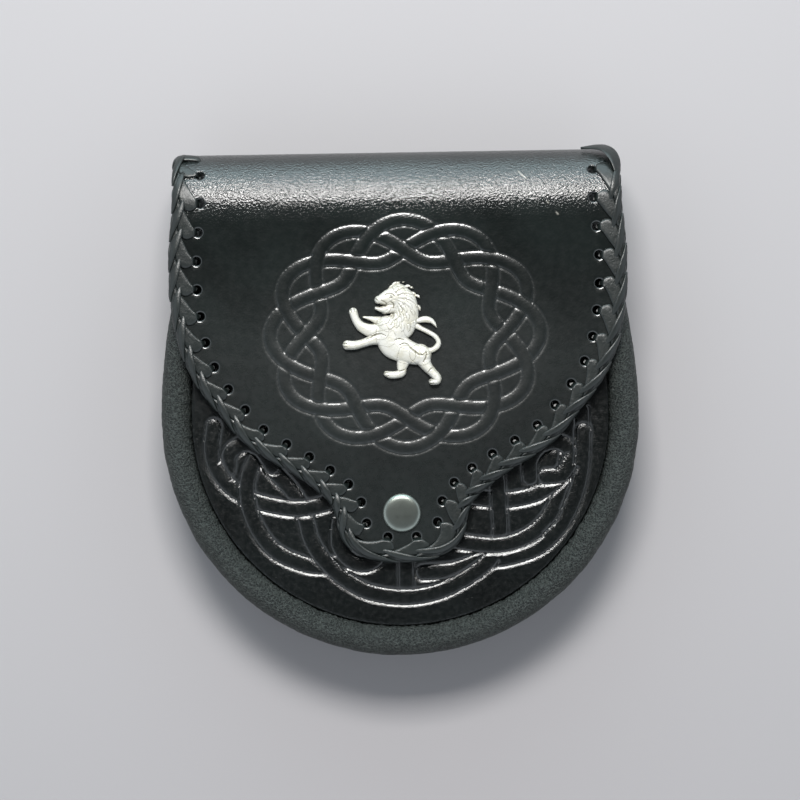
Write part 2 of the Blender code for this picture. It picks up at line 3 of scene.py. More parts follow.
import bmesh
import bpy
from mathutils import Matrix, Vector, kdtree, noise
from mathutils.geometry import delaunay_2d_cdt


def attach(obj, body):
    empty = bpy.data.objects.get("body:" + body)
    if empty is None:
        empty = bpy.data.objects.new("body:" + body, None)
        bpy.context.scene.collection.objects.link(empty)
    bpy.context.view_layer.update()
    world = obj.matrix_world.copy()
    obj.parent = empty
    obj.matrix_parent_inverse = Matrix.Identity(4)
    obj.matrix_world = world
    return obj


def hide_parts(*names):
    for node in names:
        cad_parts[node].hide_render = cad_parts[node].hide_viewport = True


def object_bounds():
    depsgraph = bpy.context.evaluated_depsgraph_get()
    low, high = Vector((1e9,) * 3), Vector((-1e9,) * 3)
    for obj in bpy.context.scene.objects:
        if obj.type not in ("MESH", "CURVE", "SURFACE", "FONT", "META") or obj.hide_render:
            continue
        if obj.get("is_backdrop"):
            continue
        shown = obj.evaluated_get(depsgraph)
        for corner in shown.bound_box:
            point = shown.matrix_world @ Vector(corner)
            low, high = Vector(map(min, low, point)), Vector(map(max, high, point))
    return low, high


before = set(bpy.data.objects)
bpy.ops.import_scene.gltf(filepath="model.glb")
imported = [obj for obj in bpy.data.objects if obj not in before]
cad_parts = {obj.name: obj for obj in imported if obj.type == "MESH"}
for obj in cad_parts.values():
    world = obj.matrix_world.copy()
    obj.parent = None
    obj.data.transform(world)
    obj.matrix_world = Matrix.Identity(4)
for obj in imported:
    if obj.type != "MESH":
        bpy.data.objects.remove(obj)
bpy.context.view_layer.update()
MM = 0.001

# The hide is one stiff 3 mm piece of dyed black leather: round back panel, roll over the top and
# shaped flap with a tab. A ring plait of three strands is tooled round the badge while the leather
# is damp, and the flap's edge is punched for its lace.
POUCH_HEIGHT = 196.0 * MM
POUCH_WIDTH = 185.4 * MM
POUCH_DEPTH = 48.0 * MM
GAP = 0.3 * MM
HIDE = 3.0 * MM
LOOP_STAND = 7.0 * MM
LACE = 1.5 * MM
ROLL_RADIUS = (POUCH_DEPTH - LOOP_STAND) / 2
ROLL_MIDDLE = ROLL_RADIUS - HIDE / 2
ROLL_Y = POUCH_HEIGHT / 2 - ROLL_RADIUS
ROLL_Z = LOOP_STAND + ROLL_RADIUS
HALF_WIDTH = POUCH_WIDTH / 2
ROUND_Y = HALF_WIDTH - POUCH_HEIGHT / 2
ROLL_HALF = HALF_WIDTH - 8.1 * MM
FLAP_HALF = HALF_WIDTH - 6.3 * MM
MOUTH_HALF = HALF_WIDTH - 14.3 * MM
FLAP_WIDEST = 17.5 * MM
FLAP_SIDE = 34.0 * MM
SHOULDER_DROP = 85.1 * MM
TAB_HALF = 24.0 * MM
TAB_DROP = 17.5 * MM
BACK_INSET = 2.0 * MM
RIM_WIDTH = 11.2 * MM
RIM_RISE = 4.5 * MM
PANEL = 2.5 * MM
PANEL_CROWN = 0.6 * MM
PANEL_Z = POUCH_DEPTH - HIDE - LACE - 3.4 * MM - RIM_RISE
MOUTH_Y = ROLL_Y - 5.5 * MM
FLAP_LENGTH = FLAP_SIDE + SHOULDER_DROP + TAB_DROP
FLAP_TIP_Z = PANEL_Z + PANEL_CROWN + LACE + HIDE + 2 * GAP
FLAP_SLOPE = math.atan2(POUCH_DEPTH - FLAP_TIP_Z, FLAP_LENGTH)
ROLL_LENGTH = (math.pi + FLAP_SLOPE) * ROLL_MIDDLE
HOLES = 36
HOLE_RADIUS = 1.6 * MM
HOLE_INSET = 9.0 * MM
LACING_START = ROLL_LENGTH - math.radians(58.0) * ROLL_MIDDLE
FIRST_HOLE = ROLL_LENGTH - math.radians(38.0) * ROLL_MIDDLE

# Flap edge below its straight side: shares of the width beyond the tab and of the shoulder's drop,
# or of the tab's half width and drop, then of the hole inset and of the widest hole pitch.
SHOULDER_ROWS = (
    # across, down, inset, pitch
    (1.000, 0.000, 1.00, 0.98),
    (0.955, 0.209, 0.97, 0.92),
    (0.875, 0.360, 0.88, 0.90),
    (0.800, 0.447, 0.82, 0.92),
    (0.705, 0.532, 0.80, 0.93),
    (0.583, 0.643, 0.78, 0.95),
    (0.440, 0.723, 0.78, 0.95),
    (0.283, 0.792, 0.80, 0.90),
    (0.157, 0.858, 0.85, 0.85),
    (0.046, 0.931, 0.95, 0.78),
    (0.000, 1.000, 1.05, 0.76),
)
TAB_ROWS = (
    # across, down, inset, pitch
    (0.943, 0.389, 1.05, 0.80),
    (0.827, 0.657, 1.00, 0.95),
    (0.620, 0.863, 0.92, 1.00),
    (0.308, 0.971, 0.88, 1.00),
    (0.000, 1.000, 0.88, 1.00),
)


def share_of(value, top=1.0):
    """A value kept between nothing and a top."""
    return min(max(value, 0.0), top)


def smooth_rows(rows, per_span):
    """Rows of numbers read more finely, from a smooth curve through them."""
    fine = []
    for i in range(len(rows) - 1):
        before = rows[max(i - 1, 0)]
        start, end = rows[i], rows[i + 1]
        after = rows[min(i + 2, len(rows) - 1)]
        for k in range(per_span):
            t = k / per_span
            fine.append(tuple(
                0.5 * (2 * b + (c - a) * t + (2 * a - 5 * b + 4 * c - d) * t * t
                       + (3 * b - a - 3 * c + d) * t ** 3)
                for a, b, c, d in zip(before, start, end, after)))
    fine.append(tuple(rows[-1]))
    return fine


def side_normals(points, closed=False):
    """Unit vectors to the right of a path, at each of its points."""
    normals = []
    last = len(points) - 1
    for i in range(len(points)):
        before = points[i - 1] if closed else points[max(i - 1, 0)]
        after = points[(i + 1) % len(points)] if closed else points[min(i + 1, last)]
        length = math.hypot(after[0] - before[0], after[1] - before[1])
        normals.append(((after[1] - before[1]) / length, (before[0] - after[0]) / length))
    return normals


def even_rows(rows, step):
    """Rows read again at even steps along the path of their first two numbers."""
    travelled = [0.0]
    for a, b in zip(rows, rows[1:]):
        travelled.append(travelled[-1] + math.dist(a[:2], b[:2]))
    count = max(round(travelled[-1] / step), 1)
    even = []
    i = 0
    for k in range(count + 1):
        wanted = travelled[-1] * k / count
        while i < len(rows) - 2 and travelled[i + 1] < wanted:
            i += 1
        span = travelled[i + 1] - travelled[i]
        t = (wanted - travelled[i]) / span if span else 0.0
        even.append(tuple(a + (b - a) * t for a, b in zip(rows[i], rows[i + 1])))
    return even


def hide_place(s, x, h):
    """A point of the hide: s along it from the foot of the roll, x across, h off its middle."""
    if s < 0.0:
        return Vector((x, ROLL_Y + s, ROLL_Z - ROLL_MIDDLE - h))
    angle = min(s, ROLL_LENGTH) / ROLL_MIDDLE
    past = max(s - ROLL_LENGTH, 0.0)
    radius = ROLL_MIDDLE + h
    return Vector((
        x,
        ROLL_Y + radius * math.sin(angle) + past * math.cos(angle),
        ROLL_Z - radius * math.cos(angle) + past * math.sin(angle)))


def flap_s(y):
    """Where along the hide the flap's outer face has the height y on the pouch."""
    return ROLL_LENGTH + (ROLL_Y - ROLL_RADIUS * math.sin(FLAP_SLOPE) - y) / math.cos(FLAP_SLOPE)


def body_half_width(y):
    """Half the gusset's outer width at a height y: a half round below, drawn in above."""
    if y <= ROUND_Y:
        return math.sqrt(max(HALF_WIDTH ** 2 - (y - ROUND_Y) ** 2, 0.0))
    share = (y - ROUND_Y) / (MOUTH_Y - ROUND_Y)
    return HALF_WIDTH - (HALF_WIDTH - MOUTH_HALF) * share ** 2


def body_side(inset, round_steps, top=ROUND_Y, side_steps=0):
    """Right side of the body, set in: a quarter round from its foot, then up its side to a height."""
    rows = []
    radius = HALF_WIDTH - inset
    for k in range(round_steps + 1):
        angle = math.pi / 2 * k / round_steps
        rows.append((radius * math.sin(angle), ROUND_Y - radius * math.cos(angle)))
    for k in range(1, side_steps + 1):
        y = ROUND_Y + (top - ROUND_Y) * k / side_steps
        rows.append((body_half_width(y) - inset, y))
    return rows


def laced_edge():
    """The right half of the laced edge from its start on the roll to the tab's tip."""
    rows = [(LACING_START, ROLL_HALF, HOLE_INSET, 1.0), (ROLL_LENGTH, ROLL_HALF, HOLE_INSET, 1.0)]
    rows.append((ROLL_LENGTH + FLAP_WIDEST, FLAP_HALF, HOLE_INSET, 1.0))
    reach = FLAP_HALF - TAB_HALF
    start = ROLL_LENGTH + FLAP_SIDE
    curve = [(start + down * SHOULDER_DROP, TAB_HALF + across * reach, inset * HOLE_INSET, pitch)
             for across, down, inset, pitch in SHOULDER_ROWS]
    curve += [(start + SHOULDER_DROP + down * TAB_DROP, across * TAB_HALF, inset * HOLE_INSET, pitch)
              for across, down, inset, pitch in TAB_ROWS]
    return rows + smooth_rows(curve, 12)


def whole_edge():
    """The laced edge from the left end of the lacing, round the tab, to its right end."""
    edge = laced_edge()
    return [(s, -x, inset, pitch) for s, x, inset, pitch in edge][:-1] + edge[::-1]


def lace_holes():
    """Places of the lace holes, as s and x, spread along a line inside the laced edge."""
    edge = even_rows(whole_edge(), 0.5 * MM)
    line = [(s - ns * inset, x - nx * inset, pitch)
            for (s, x, inset, pitch), (ns, nx) in zip(edge, side_normals(edge))]
    line = [row for row in line if row[0] >= FIRST_HOLE]
    travelled = [0.0]
    for a, b in zip(line, line[1:]):
        travelled.append(travelled[-1] + math.dist(a[:2], b[:2]) / ((a[2] + b[2]) / 2))
    holes = []
    i = 0
    for k in range(HOLES):
        wanted = travelled[-1] * k / (HOLES - 1)
        while i < len(line) - 2 and travelled[i + 1] < wanted:
            i += 1
        t = (wanted - travelled[i]) / (travelled[i + 1] - travelled[i])
        holes.append(tuple(a + (b - a) * t for a, b in zip(line[i][:2], line[i + 1][:2])))
    return holes


def inside(loop, s, x):
    """Whether a point lies in a closed loop."""
    within = False
    j = len(loop) - 1
    for i in range(len(loop)):
        (s0, x0), (s1, x1) = loop[i], loop[j]
        if (x0 > x) != (x1 > x) and s < (s1 - s0) * (x - x0) / (x1 - x0) + s0:
            within = not within
        j = i
    return within


def tree_of(points):
    """A search tree over points in a plane."""
    tree = kdtree.KDTree(len(points))
    for i, (a, b) in enumerate(points):
        tree.insert((a, b, 0.0), i)
    tree.balance()
    return tree


TRIANGLE_ROWS = 0.866  # spacing of a triangular grid's rows, as a share of its cell


def face_points(outline, rings, cells, margin):
    """Points of triangular grids inside an outline and clear of its rings.

    cells holds rows of (step, test), and a point takes the first grid whose test it passes.
    """
    border = tree_of([p for loop in [outline] + rings for p in loop])
    middles = [tuple(sum(values) / len(ring) for values in zip(*ring)) for ring in rings]
    punches = tree_of(middles)
    low_s = min(p[0] for p in outline)
    high_s = max(p[0] for p in outline)
    low_x = min(p[1] for p in outline)
    high_x = max(p[1] for p in outline)
    points = []
    for number, (step, wanted) in enumerate(cells):
        rows = int((high_s - low_s) / (step * TRIANGLE_ROWS)) + 1
        columns = int((high_x - low_x) / step) + 1
        for r in range(rows):
            s = low_s + r * step * TRIANGLE_ROWS
            for c in range(columns):
                x = low_x + (c + 0.5 * (r % 2)) * step
                if not wanted(s, x) or any(other(s, x) for _, other in cells[:number]):
                    continue
                if border.find((s, x, 0.0))[2] < min(margin, step * 0.6):
                    continue
                if rings:
                    nearest = punches.find((s, x, 0.0))[1]
                    middle = middles[nearest]
                    if math.dist((s, x), middle) < math.dist(middle, rings[nearest][0]):
                        continue
                if inside(outline, s, x):
                    points.append((s, x))
    return points


def filled(outline, rings, points):
    """Triangles over an outline less its rings; the outline and rings keep their points' order."""
    coords = list(outline)
    edges = [(i, (i + 1) % len(outline)) for i in range(len(outline))]
    for ring in rings:
        base = len(coords)
        coords += ring
        edges += [(base + i, base + (i + 1) % len(ring)) for i in range(len(ring))]
    coords += points
    rim = len(outline) + sum(len(ring) for ring in rings)
    places, _, faces, _, _, _ = delaunay_2d_cdt(
        [Vector(c) for c in coords], edges, [list(range(len(outline)))], 1, 1e-7)
    owner = {}
    base = len(outline)
    for number, ring in enumerate(rings):
        for i in range(len(ring)):
            owner[base + i] = number
        base += len(ring)
    kept = []
    for face in faces:
        owners = {owner.get(i, -1) if i < rim else -1 for i in face}
        if len(owners) == 1 and -1 not in owners:
            continue
        kept.append(face)
    return [(p.x, p.y) for p in places], kept


def inset_loop(loop, reach):
    """A closed loop moved inwards; it runs with its inside on the left."""
    return [(s - ns * reach, x - nx * reach)
            for (s, x), (ns, nx) in zip(loop, side_normals(loop, closed=True))]


def circle(s, x, radius, sides):
    """A ring of points about s and x."""
    turns = [2 * math.pi * k / sides for k in range(sides)]
    return [(s + radius * math.cos(turn), x + radius * math.sin(turn)) for turn in turns]


def skin(bm, rings, capped=True):
    """Skin rows of closed rings of points, as new faces of a bmesh."""
    rows = [[bm.verts.new(point) for point in ring] for ring in rings]
    sides = len(rows[0])
    for lower, upper in zip(rows, rows[1:]):
        for i in range(sides):
            j = (i + 1) % sides
            bm.faces.new((lower[i], lower[j], upper[j], upper[i]))
    if capped:
        bm.faces.new(rows[0][::-1])
        bm.faces.new(rows[-1])
    return rows


def finished(bm, name, sharp=None):
    """A bmesh as a smooth object in the scene, with edges kept sharp above an angle in degrees."""
    bmesh.ops.recalc_face_normals(bm, faces=bm.faces)
    mesh = bpy.data.meshes.new(name)
    bm.to_mesh(mesh)
    bm.free()
    mesh.shade_smooth()
    if sharp:
        mesh.set_sharp_from_angle(angle=math.radians(sharp))
    made = bpy.data.objects.new(name, mesh)
    bpy.context.scene.collection.objects.link(made)
    return made


# A cut or punched edge is rounded: rows of inset and height, as shares of its radius and half thickness.
EDGE_RADIUS = 0.8 * MM
CUT_EDGE = ((0.75, 1.0), (0.36, 0.93), (0.1, 0.72), (0.0, 0.35))
PUNCHED_EDGE = ((0.95, 1.0), (0.62, 0.955), (0.32, 0.86), (0.08, 0.70), (0.0, 0.50))
HOLE_SIDES = 20
INNER_CELL = 5.0 * MM


def leather_sheet(name, outline, holes, thickness, place, cells, lift):
    """A sheet of leather with rounded edges, punched holes and a tooled outer face."""
    half = thickness / 2
    bm = bmesh.new()
    layers = [(inset * EDGE_RADIUS, share * half) for inset, share in CUT_EDGE]
    layers += [(inset, -h) for inset, h in layers[::-1]] + [(1.5 * EDGE_RADIUS, -half)]
    loops = skin(bm, [[place(s, x, h) for s, x in inset_loop(outline, inset)] for inset, h in layers],
                 capped=False)
    throats = []
    for s, x, hole_radius in holes:
        rows = [(hole_radius + inset * EDGE_RADIUS, share * half) for inset, share in PUNCHED_EDGE]
        rows += [(r, -h) for r, h in rows[::-1]]
        throat = [[bm.verts.new(place(a, b, h)) for a, b in circle(s, x, r, HOLE_SIDES)] for r, h in rows]
        for lower, upper in zip(throat, throat[1:]):
            for i in range(HOLE_SIDES):
                j = (i + 1) % HOLE_SIDES
                bm.faces.new((lower[j], lower[i], upper[i], upper[j]))
        throats.append(throat)
    rings = [circle(s, x, r + PUNCHED_EDGE[0][0] * EDGE_RADIUS, HOLE_SIDES) for s, x, r in holes]
    for outer in (True, False):
        end = 0 if outer else -1
        rim = inset_loop(outline, layers[end][0])
        grids = cells if outer else ((INNER_CELL, lambda s, x: True),)
        places, faces = filled(rim, rings, face_points(rim, rings, grids, 0.5 * MM))
        verts = loops[end] + [vert for throat in throats for vert in throat[end]]
        for s, x in places[len(verts):]:
            verts.append(bm.verts.new(place(s, x, half + lift(s, x) if outer else -half)))
        for face in faces:
            bm.faces.new([verts[i] for i in (face if outer else face[::-1])])
    return finished(bm, name)


def strand_trees(strands, step):
    """Search trees over tooled strands, each a smooth path of (s, x, level) rows."""
    trees = []
    for rows in strands:
        fine = even_rows(rows, step)
        trees.append((tree_of([row[:2] for row in fine]), [row[2] for row in fine]))
    return trees


def tooled_height(trees, half_width, groove, depth, crown, s, x):
    """Height of tooled strands: the upper strand's groove cuts whatever passes under it."""
    near = []
    for tree, levels in trees:
        _, index, distance = tree.find((s, x, 0.0))
        if distance < half_width + groove:
            near.append((levels[index], distance))
    height = 0.0
    for _, distance in sorted(near):
        if distance < half_width:
            edge = distance / half_width
            height = crown * (1 - edge ** 2.2) - 0.35 * depth * edge ** 3
        else:
            height -= depth * (1 - (distance - half_width) / groove) ** 2
    return height


PLAIT_CENTRE_X = 2.4 * MM
PLAIT_CENTRE_Y = 26.6 * MM
PLAIT_HALF_ACROSS = 55.4 * MM
PLAIT_HALF_UP = 46.8 * MM
PLAIT_MIDDLE = 0.775
PLAIT_SWING = 0.165
STRAND_HALF = 2.45 * MM
LEVELS = ((-60.0, -1.0), (60.0, 1.0), (120.0, -1.0), (240.0, 1.0), (300.0, -1.0))


def plait_strand(number):
    """One strand of the ring plait, with its level over or under the others."""
    rows = []
    for k in range(721):
        angle = 2 * math.pi * k / 720
        turn = 4 * angle + 2 * math.pi * number / 3
        reach = PLAIT_MIDDLE + PLAIT_SWING * math.cos(turn)
        degrees = (math.degrees(turn) + 60.0) % 360.0 - 60.0
        for (a, low), (b, high) in zip(LEVELS, LEVELS[1:]):
            if a <= degrees <= b:
                level = low + (high - low) * (degrees - a) / (b - a)
        rows.append((
            flap_s(PLAIT_CENTRE_Y) - reach * PLAIT_HALF_UP * math.sin(angle),
            PLAIT_CENTRE_X + reach * PLAIT_HALF_ACROSS * math.cos(angle),
            level))
    return rows


plait_trees = strand_trees([plait_strand(number) for number in range(3)], 0.25 * MM)


def plait_reach(s, x):
    """How far out a point lies, as a share of the plait's own oval."""
    return math.hypot((x - PLAIT_CENTRE_X) / PLAIT_HALF_ACROSS, (s - flap_s(PLAIT_CENTRE_Y)) / PLAIT_HALF_UP)


def flap_lift(s, x):
    """The ring plait's tooling."""
    if s < ROLL_LENGTH:
        return 0.0
    height = 0.0
    if 0.5 < plait_reach(s, x) < 1.08:
        height = tooled_height(plait_trees, STRAND_HALF, 1.25 * MM, 0.19 * MM, 0.17 * MM, s, x)
    return height


def hide_outline():
    """The hide's whole outline: right side up from the back's foot, over, to the tab and back."""
    right = [(y - ROLL_Y, max(x, ROLL_HALF) if y > ROUND_Y else x)
             for x, y in body_side(BACK_INSET, 48, ROLL_Y, 40)]
    right.append((LACING_START, ROLL_HALF))
    right += [(s, x) for s, x, _, _ in laced_edge()[1:]]
    right = [row[:2] for row in even_rows(right, 1.3 * MM)]
    return right + [(s, -x) for s, x in right[-2:0:-1]]


SCUFFS = (
    # small bare scratches: rows of across, up and half width in mm
    ((46.9, 88.6, 0.30), (48.4, 86.9, 0.60), (50.2, 85.4, 0.30)),
    ((57.6, 76.6, 0.30), (58.2, 76.0, 0.50)),
    ((61.2, 72.3, 0.35), (61.8, 71.6, 0.50)),
)


def face_s(y):
    """Where along the hide its outer face has the height y, on the roll's front half or the flap."""
    if y > ROLL_Y:
        return (math.pi - math.asin((y - ROLL_Y) / ROLL_RADIUS)) * ROLL_MIDDLE
    return flap_s(y)


scuff_points = [row for scuff in SCUFFS
                for row in even_rows([(face_s(y * MM), x * MM, r * MM) for x, y, r in smooth_rows(scuff, 4)],
                                     0.2 * MM)]
scuff_places = tree_of([row[:2] for row in scuff_points])
hide_cells = (
    (0.30 * MM, lambda s, x: x > 40 * MM and scuff_places.find((s, x, 0.0))[2] < 1.1 * MM),
    (0.45 * MM, lambda s, x: s > ROLL_LENGTH and 0.5 < plait_reach(s, x) < 1.08),
    (1.4 * MM, lambda s, x: s > -4.0 * MM),
    (3.5 * MM, lambda s, x: True),
)
lace_places = lace_holes()
SNAP_S = ROLL_LENGTH + FLAP_LENGTH - 17.5 * MM
LION_HEIGHT = 39.0 * MM
LION_X = -2.2 * MM
LION_S = flap_s(ROLL_Y - 51.3 * MM)
LION_POSTS = ((-0.03, 0.08), (0.22, -0.19))
punched = [(s, x, HOLE_RADIUS) for s, x in lace_places]
punched.append((SNAP_S, 0.0, 2.0 * MM + GAP))
punched += [(LION_S - up * LION_HEIGHT, LION_X + across * LION_HEIGHT, 1.2 * MM + GAP)
            for across, up in LION_POSTS]
tooled_hide = leather_sheet("tooled_hide", hide_outline(), punched, HIDE, hide_place, hide_cells, flap_lift)

bend = tooled_hide.data.attributes.new("bend", "FLOAT", "POINT")
dull = tooled_hide.data.attributes.new("dull", "FLOAT", "POINT")
scuffed = tooled_hide.data.attributes.new("scuffed", "FLOAT", "POINT")
scuff_tree = kdtree.KDTree(len(scuff_points))
for i, (s, x, _) in enumerate(scuff_points):
    scuff_tree.insert(hide_place(s, x, HIDE / 2), i)
scuff_tree.balance()
for i, vert in enumerate(tooled_hide.data.vertices):
    x, y, z = vert.co
    bend.data[i].value = share_of((y - ROLL_Y + 9 * MM) / (14 * MM))
    if y > ROLL_Y and math.hypot(y - ROLL_Y, z - ROLL_Z) < ROLL_MIDDLE - 0.5 * MM:
        dull.data[i].value = 2.0
    elif z > ROLL_Z:
        low = share_of((62 * MM - y) / (45 * MM))
        plaited = share_of(8.0 * (1.06 - plait_reach(flap_s(y), x)))
        pressed = share_of(-flap_lift(flap_s(y), x) / (0.10 * MM))
        dull.data[i].value = 0.5 * low + 0.10 * plaited + 0.3 * pressed
        _, near, distance = scuff_tree.find(vert.co)
        scuffed.data[i].value = 0.6 * max(1.0 - distance / scuff_points[near][2], 0.0)


def node(tree, kind, inputs, **settings):
    """A shader node with its settings; each input gets a value, or a link from another's output."""
    made = tree.nodes.new("ShaderNode" + kind)
    for name, value in settings.items():
        setattr(made, name, value)
    for name, value in inputs.items():
        if isinstance(value, bpy.types.NodeSocket):
            tree.links.new(value, made.inputs[name])
        else:
            made.inputs[name].default_value = value
    return made


def painted(name):
    """A new material, its node tree, its shader and its place on the object."""
    material = bpy.data.materials.new(name)
    material.use_nodes = True
    tree = material.node_tree
    return material, tree, tree.nodes["Principled BSDF"], node(tree, "TexCoord", {}).outputs["Object"]


def attribute(tree, name):
    """The value that a mesh keeps at its points under a name."""
    return node(tree, "Attribute", {}, attribute_name=name).outputs["Fac"]


def spread(tree, value, low, high, to_low=0.0, to_high=1.0):
    """A value spread from one range to another."""
    return node(tree, "MapRange", {"Value": value, "From Min": low, "From Max": high,
                                   "To Min": to_low, "To Max": to_high}).outputs["Result"]


def blend(tree, share, first, second):
    """A colour between two others."""
    return node(tree, "Mix", {"A": first, "B": second, "Factor": share}, data_type="RGBA").outputs["Result"]


def leather(name, colour, worn_colour, roughness, grain, bump, shine=0.5, worked=False, speckled=False):
    """Dyed leather: grain cells and fine creases as bump, with slow changes of colour and sheen.

    Worked leather has less grain where it isn't bent, and is duller where it was tooled and handled.
    Speckled leather takes less dye on its grain than between.
    """
    material, tree, shader, place = painted(name)
    shader.inputs["Specular IOR Level"].default_value = shine
    cells = node(tree, "TexVoronoi", {"Vector": place, "Scale": grain, "Smoothness": 0.4},
                 feature="SMOOTH_F1")
    warp = node(tree, "TexNoise", {"Vector": place, "Scale": grain * 0.35, "Detail": 4.0})
    fine = node(tree, "TexNoise", {"Vector": place, "Scale": grain * 2.4, "Detail": 5.0})
    slow = node(tree, "TexNoise", {"Vector": place, "Scale": 34.0, "Detail": 3.0})
    mixed = node(tree, "Math", {0: cells.outputs["Distance"], 1: fine.outputs["Fac"]},
                 operation="ADD").outputs["Value"]
    height = mixed
    if worked:
        bent = spread(tree, attribute(tree, "bend"), 0.0, 1.0, 0.10)
        height = node(tree, "Math", {0: mixed, 1: bent}, operation="MULTIPLY").outputs["Value"]
    dent = node(tree, "Bump", {"Strength": 1.0, "Distance": bump, "Height": height})
    tree.links.new(dent.outputs["Normal"], shader.inputs["Normal"])
    if speckled:
        wear = spread(tree, mixed, 0.70, 1.25)
    else:
        wear = spread(tree, slow.outputs["Fac"], 0.35, 0.75)
    shade = blend(tree, wear, (*colour, 1.0), (*worn_colour, 1.0))
    gloss = spread(tree, warp.outputs["Fac"], 0.3, 0.7, roughness - (0.015 if worked else 0.05),
                   roughness + (0.02 if worked else 0.06))
    if worked:
        gloss = node(tree, "Math", {0: attribute(tree, "dull"), 1: 0.20, 2: gloss},
                     operation="MULTIPLY_ADD").outputs["Value"]
        shade = blend(tree, attribute(tree, "scuffed"), shade, (0.36, 0.34, 0.30, 1.0))
    tree.links.new(shade, shader.inputs["Base Color"])
    tree.links.new(gloss, shader.inputs["Roughness"])
    return material


tooled_leather = leather("tooled_leather", (0.0022, 0.0036, 0.0034), (0.006, 0.0088, 0.0083), 0.175,
                         1100.0, 0.00017, shine=0.85, worked=True)
tooled_hide.data.materials.append(tooled_leather)
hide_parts("back_and_flap")
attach(tooled_hide, "root")

# The front panel is a stiff 2.5 mm tooled piece, polished glossier than the flap and set down
# inside the gusset's rim. Broad interlaced bands are tooled over it.
PANEL_INSET = RIM_WIDTH + GAP


def panel_outline():
    """Panel outline: right side up from the foot, along the mouth edge and down the left side."""
    right = body_side(PANEL_INSET, 60)
    top = ROLL_Y - 17.5 * MM
    for k in range(1, 31):
        y = ROUND_Y + (top - ROUND_Y) * k / 30
        drawn_in = 2 * (HALF_WIDTH - body_half_width(y)) / (y - ROUND_Y)
        right.append((body_half_width(y) - PANEL_INSET * math.hypot(1.0, drawn_in), y))
    right = [row[:2] for row in even_rows(right, 1.2 * MM)]
    across = right[-1][0]
    steps = round(2 * across / (2.0 * MM))
    mouth = [(across - 2 * across * k / steps, top) for k in range(1, steps)]
    return right + mouth + [(-x, y) for x, y in right[:0:-1]]


def panel_place(x, y, h):
    """A point of the slightly crowned front panel, h off its middle."""
    widest = HALF_WIDTH - PANEL_INSET
    crown = max(1 - (x / widest) ** 2 - min((y - ROUND_Y) / widest, 0.0) ** 2, 0.0)
    return Vector((x, y, PANEL_Z - PANEL / 2 + PANEL_CROWN * crown + h))


PANEL_BANDS = (
    # each band's middle: across, up (mm), then +1 where it passes over another and -1 where under
    ((-53.7, -14.0, 0), (-50.5, -24.0, 0), (-43.6, -32.4, -1), (-39.3, -39.2, -1), (-37.3, -46.0, -1),
     (-35.4, -53.2, 1), (-30.7, -60.6, 1), (-23.3, -67.7, 1), (-13.2, -73.3, 1), (0.8, -75.5, 1),
     (13.2, -73.7, 1), (23.3, -69.2, 1), (31.9, -63.4, 1), (36.6, -57.7, -1), (38.1, -50.0, -1),
     (37.7, -40.2, 1), (37.3, -30.5, 1), (35.0, -20.7, 1)),
    ((20.2, -54.0, 0), (35.0, -55.9, 1), (44.7, -54.3, 1), (52.9, -49.7, 0), (58.7, -42.4, 0),
     (62.2, -32.8, -1), (64.6, -21.1, 0), (65.0, -8.0, 0)),
    ((8.0, -66.0, 0), (20.0, -65.2, 0), (30.0, -61.9, -1), (40.8, -60.9, 0), (52.5, -57.1, 0),
     (60.9, -49.6, 0), (66.6, -39.2, 0), (70.0, -27.0, 1), (71.0, -12.0, 1)),
    ((-21.5, -60.8, -1), (-31.9, -63.0, -1), (-40.8, -61.2, 0), (-49.8, -56.5, 0), (-56.0, -48.6, 0),
     (-59.5, -39.3, 1), (-59.9, -29.9, 1), (-56.8, -21.4, -1), (-50.6, -12.0, 0)),
    ((-72.6, -8.0, 0), (-73.6, -16.0, 0), (-72.4, -23.0, 0), (-68.0, -30.0, 0), (-60.6, -35.6, -1),
     (-51.3, -38.8, 0), (-38.9, -40.5, 1), (-26.4, -37.7, 1), (-18.7, -33.5, 0)),
    ((-24.5, -46.0, 0), (-25.0, -54.1, 0), (-21.4, -60.0, 0), (-15.6, -62.6, 0), (-10.0, -60.0, 0),
     (-8.0, -52.0, 0)),
    ((1.2, -55.0, 0), (1.2, -65.0, 0), (1.2, -73.0, -1)),
    ((26.0, -37.0, 0), (37.5, -38.4, -1), (44.7, -38.0, 0), (53.3, -35.8, 0), (60.7, -30.8, 1),
     (66.1, -23.9, 1), (69.8, -15.4, -1), (70.5, -4.0, 0)),
    ((50.0, -30.0, -1), (50.2, -23.4, 0), (53.7, -18.2, 0), (59.4, -16.2, 0), (64.6, -18.2, 1),
     (66.6, -24.0, -1), (63.0, -28.6, 1), (56.0, -29.6, 1)),
    ((-67.5, -25.0, 0), (-66.5, -18.6, 0), (-61.2, -15.2, 0), (-55.0, -17.0, 1), (-50.0, -24.0, 1)),
)
BAND_HALF = 2.75 * MM
BAND_GROOVE = 1.9 * MM
BAND_DEPTH = 0.50 * MM
band_trees = strand_trees(
    [[(x * MM, y * MM, level) for x, y, level in smooth_rows(band, 14)] for band in PANEL_BANDS],
    0.2 * MM)


def panel_lift(x, y):
    """The interlaced bands' tooling: rounded bands between pressed grooves."""
    return tooled_height(band_trees, BAND_HALF, BAND_GROOVE, BAND_DEPTH, 0.04 * MM, x, y)


def by_a_band(x, y):
    """Whether a point is close enough to a band to need a fine mesh."""
    reach = BAND_HALF + BAND_GROOVE + 0.4 * MM
    return y < -2.0 * MM and any(tree.find((x, y, 0.0))[2] < reach for tree, _ in band_trees)


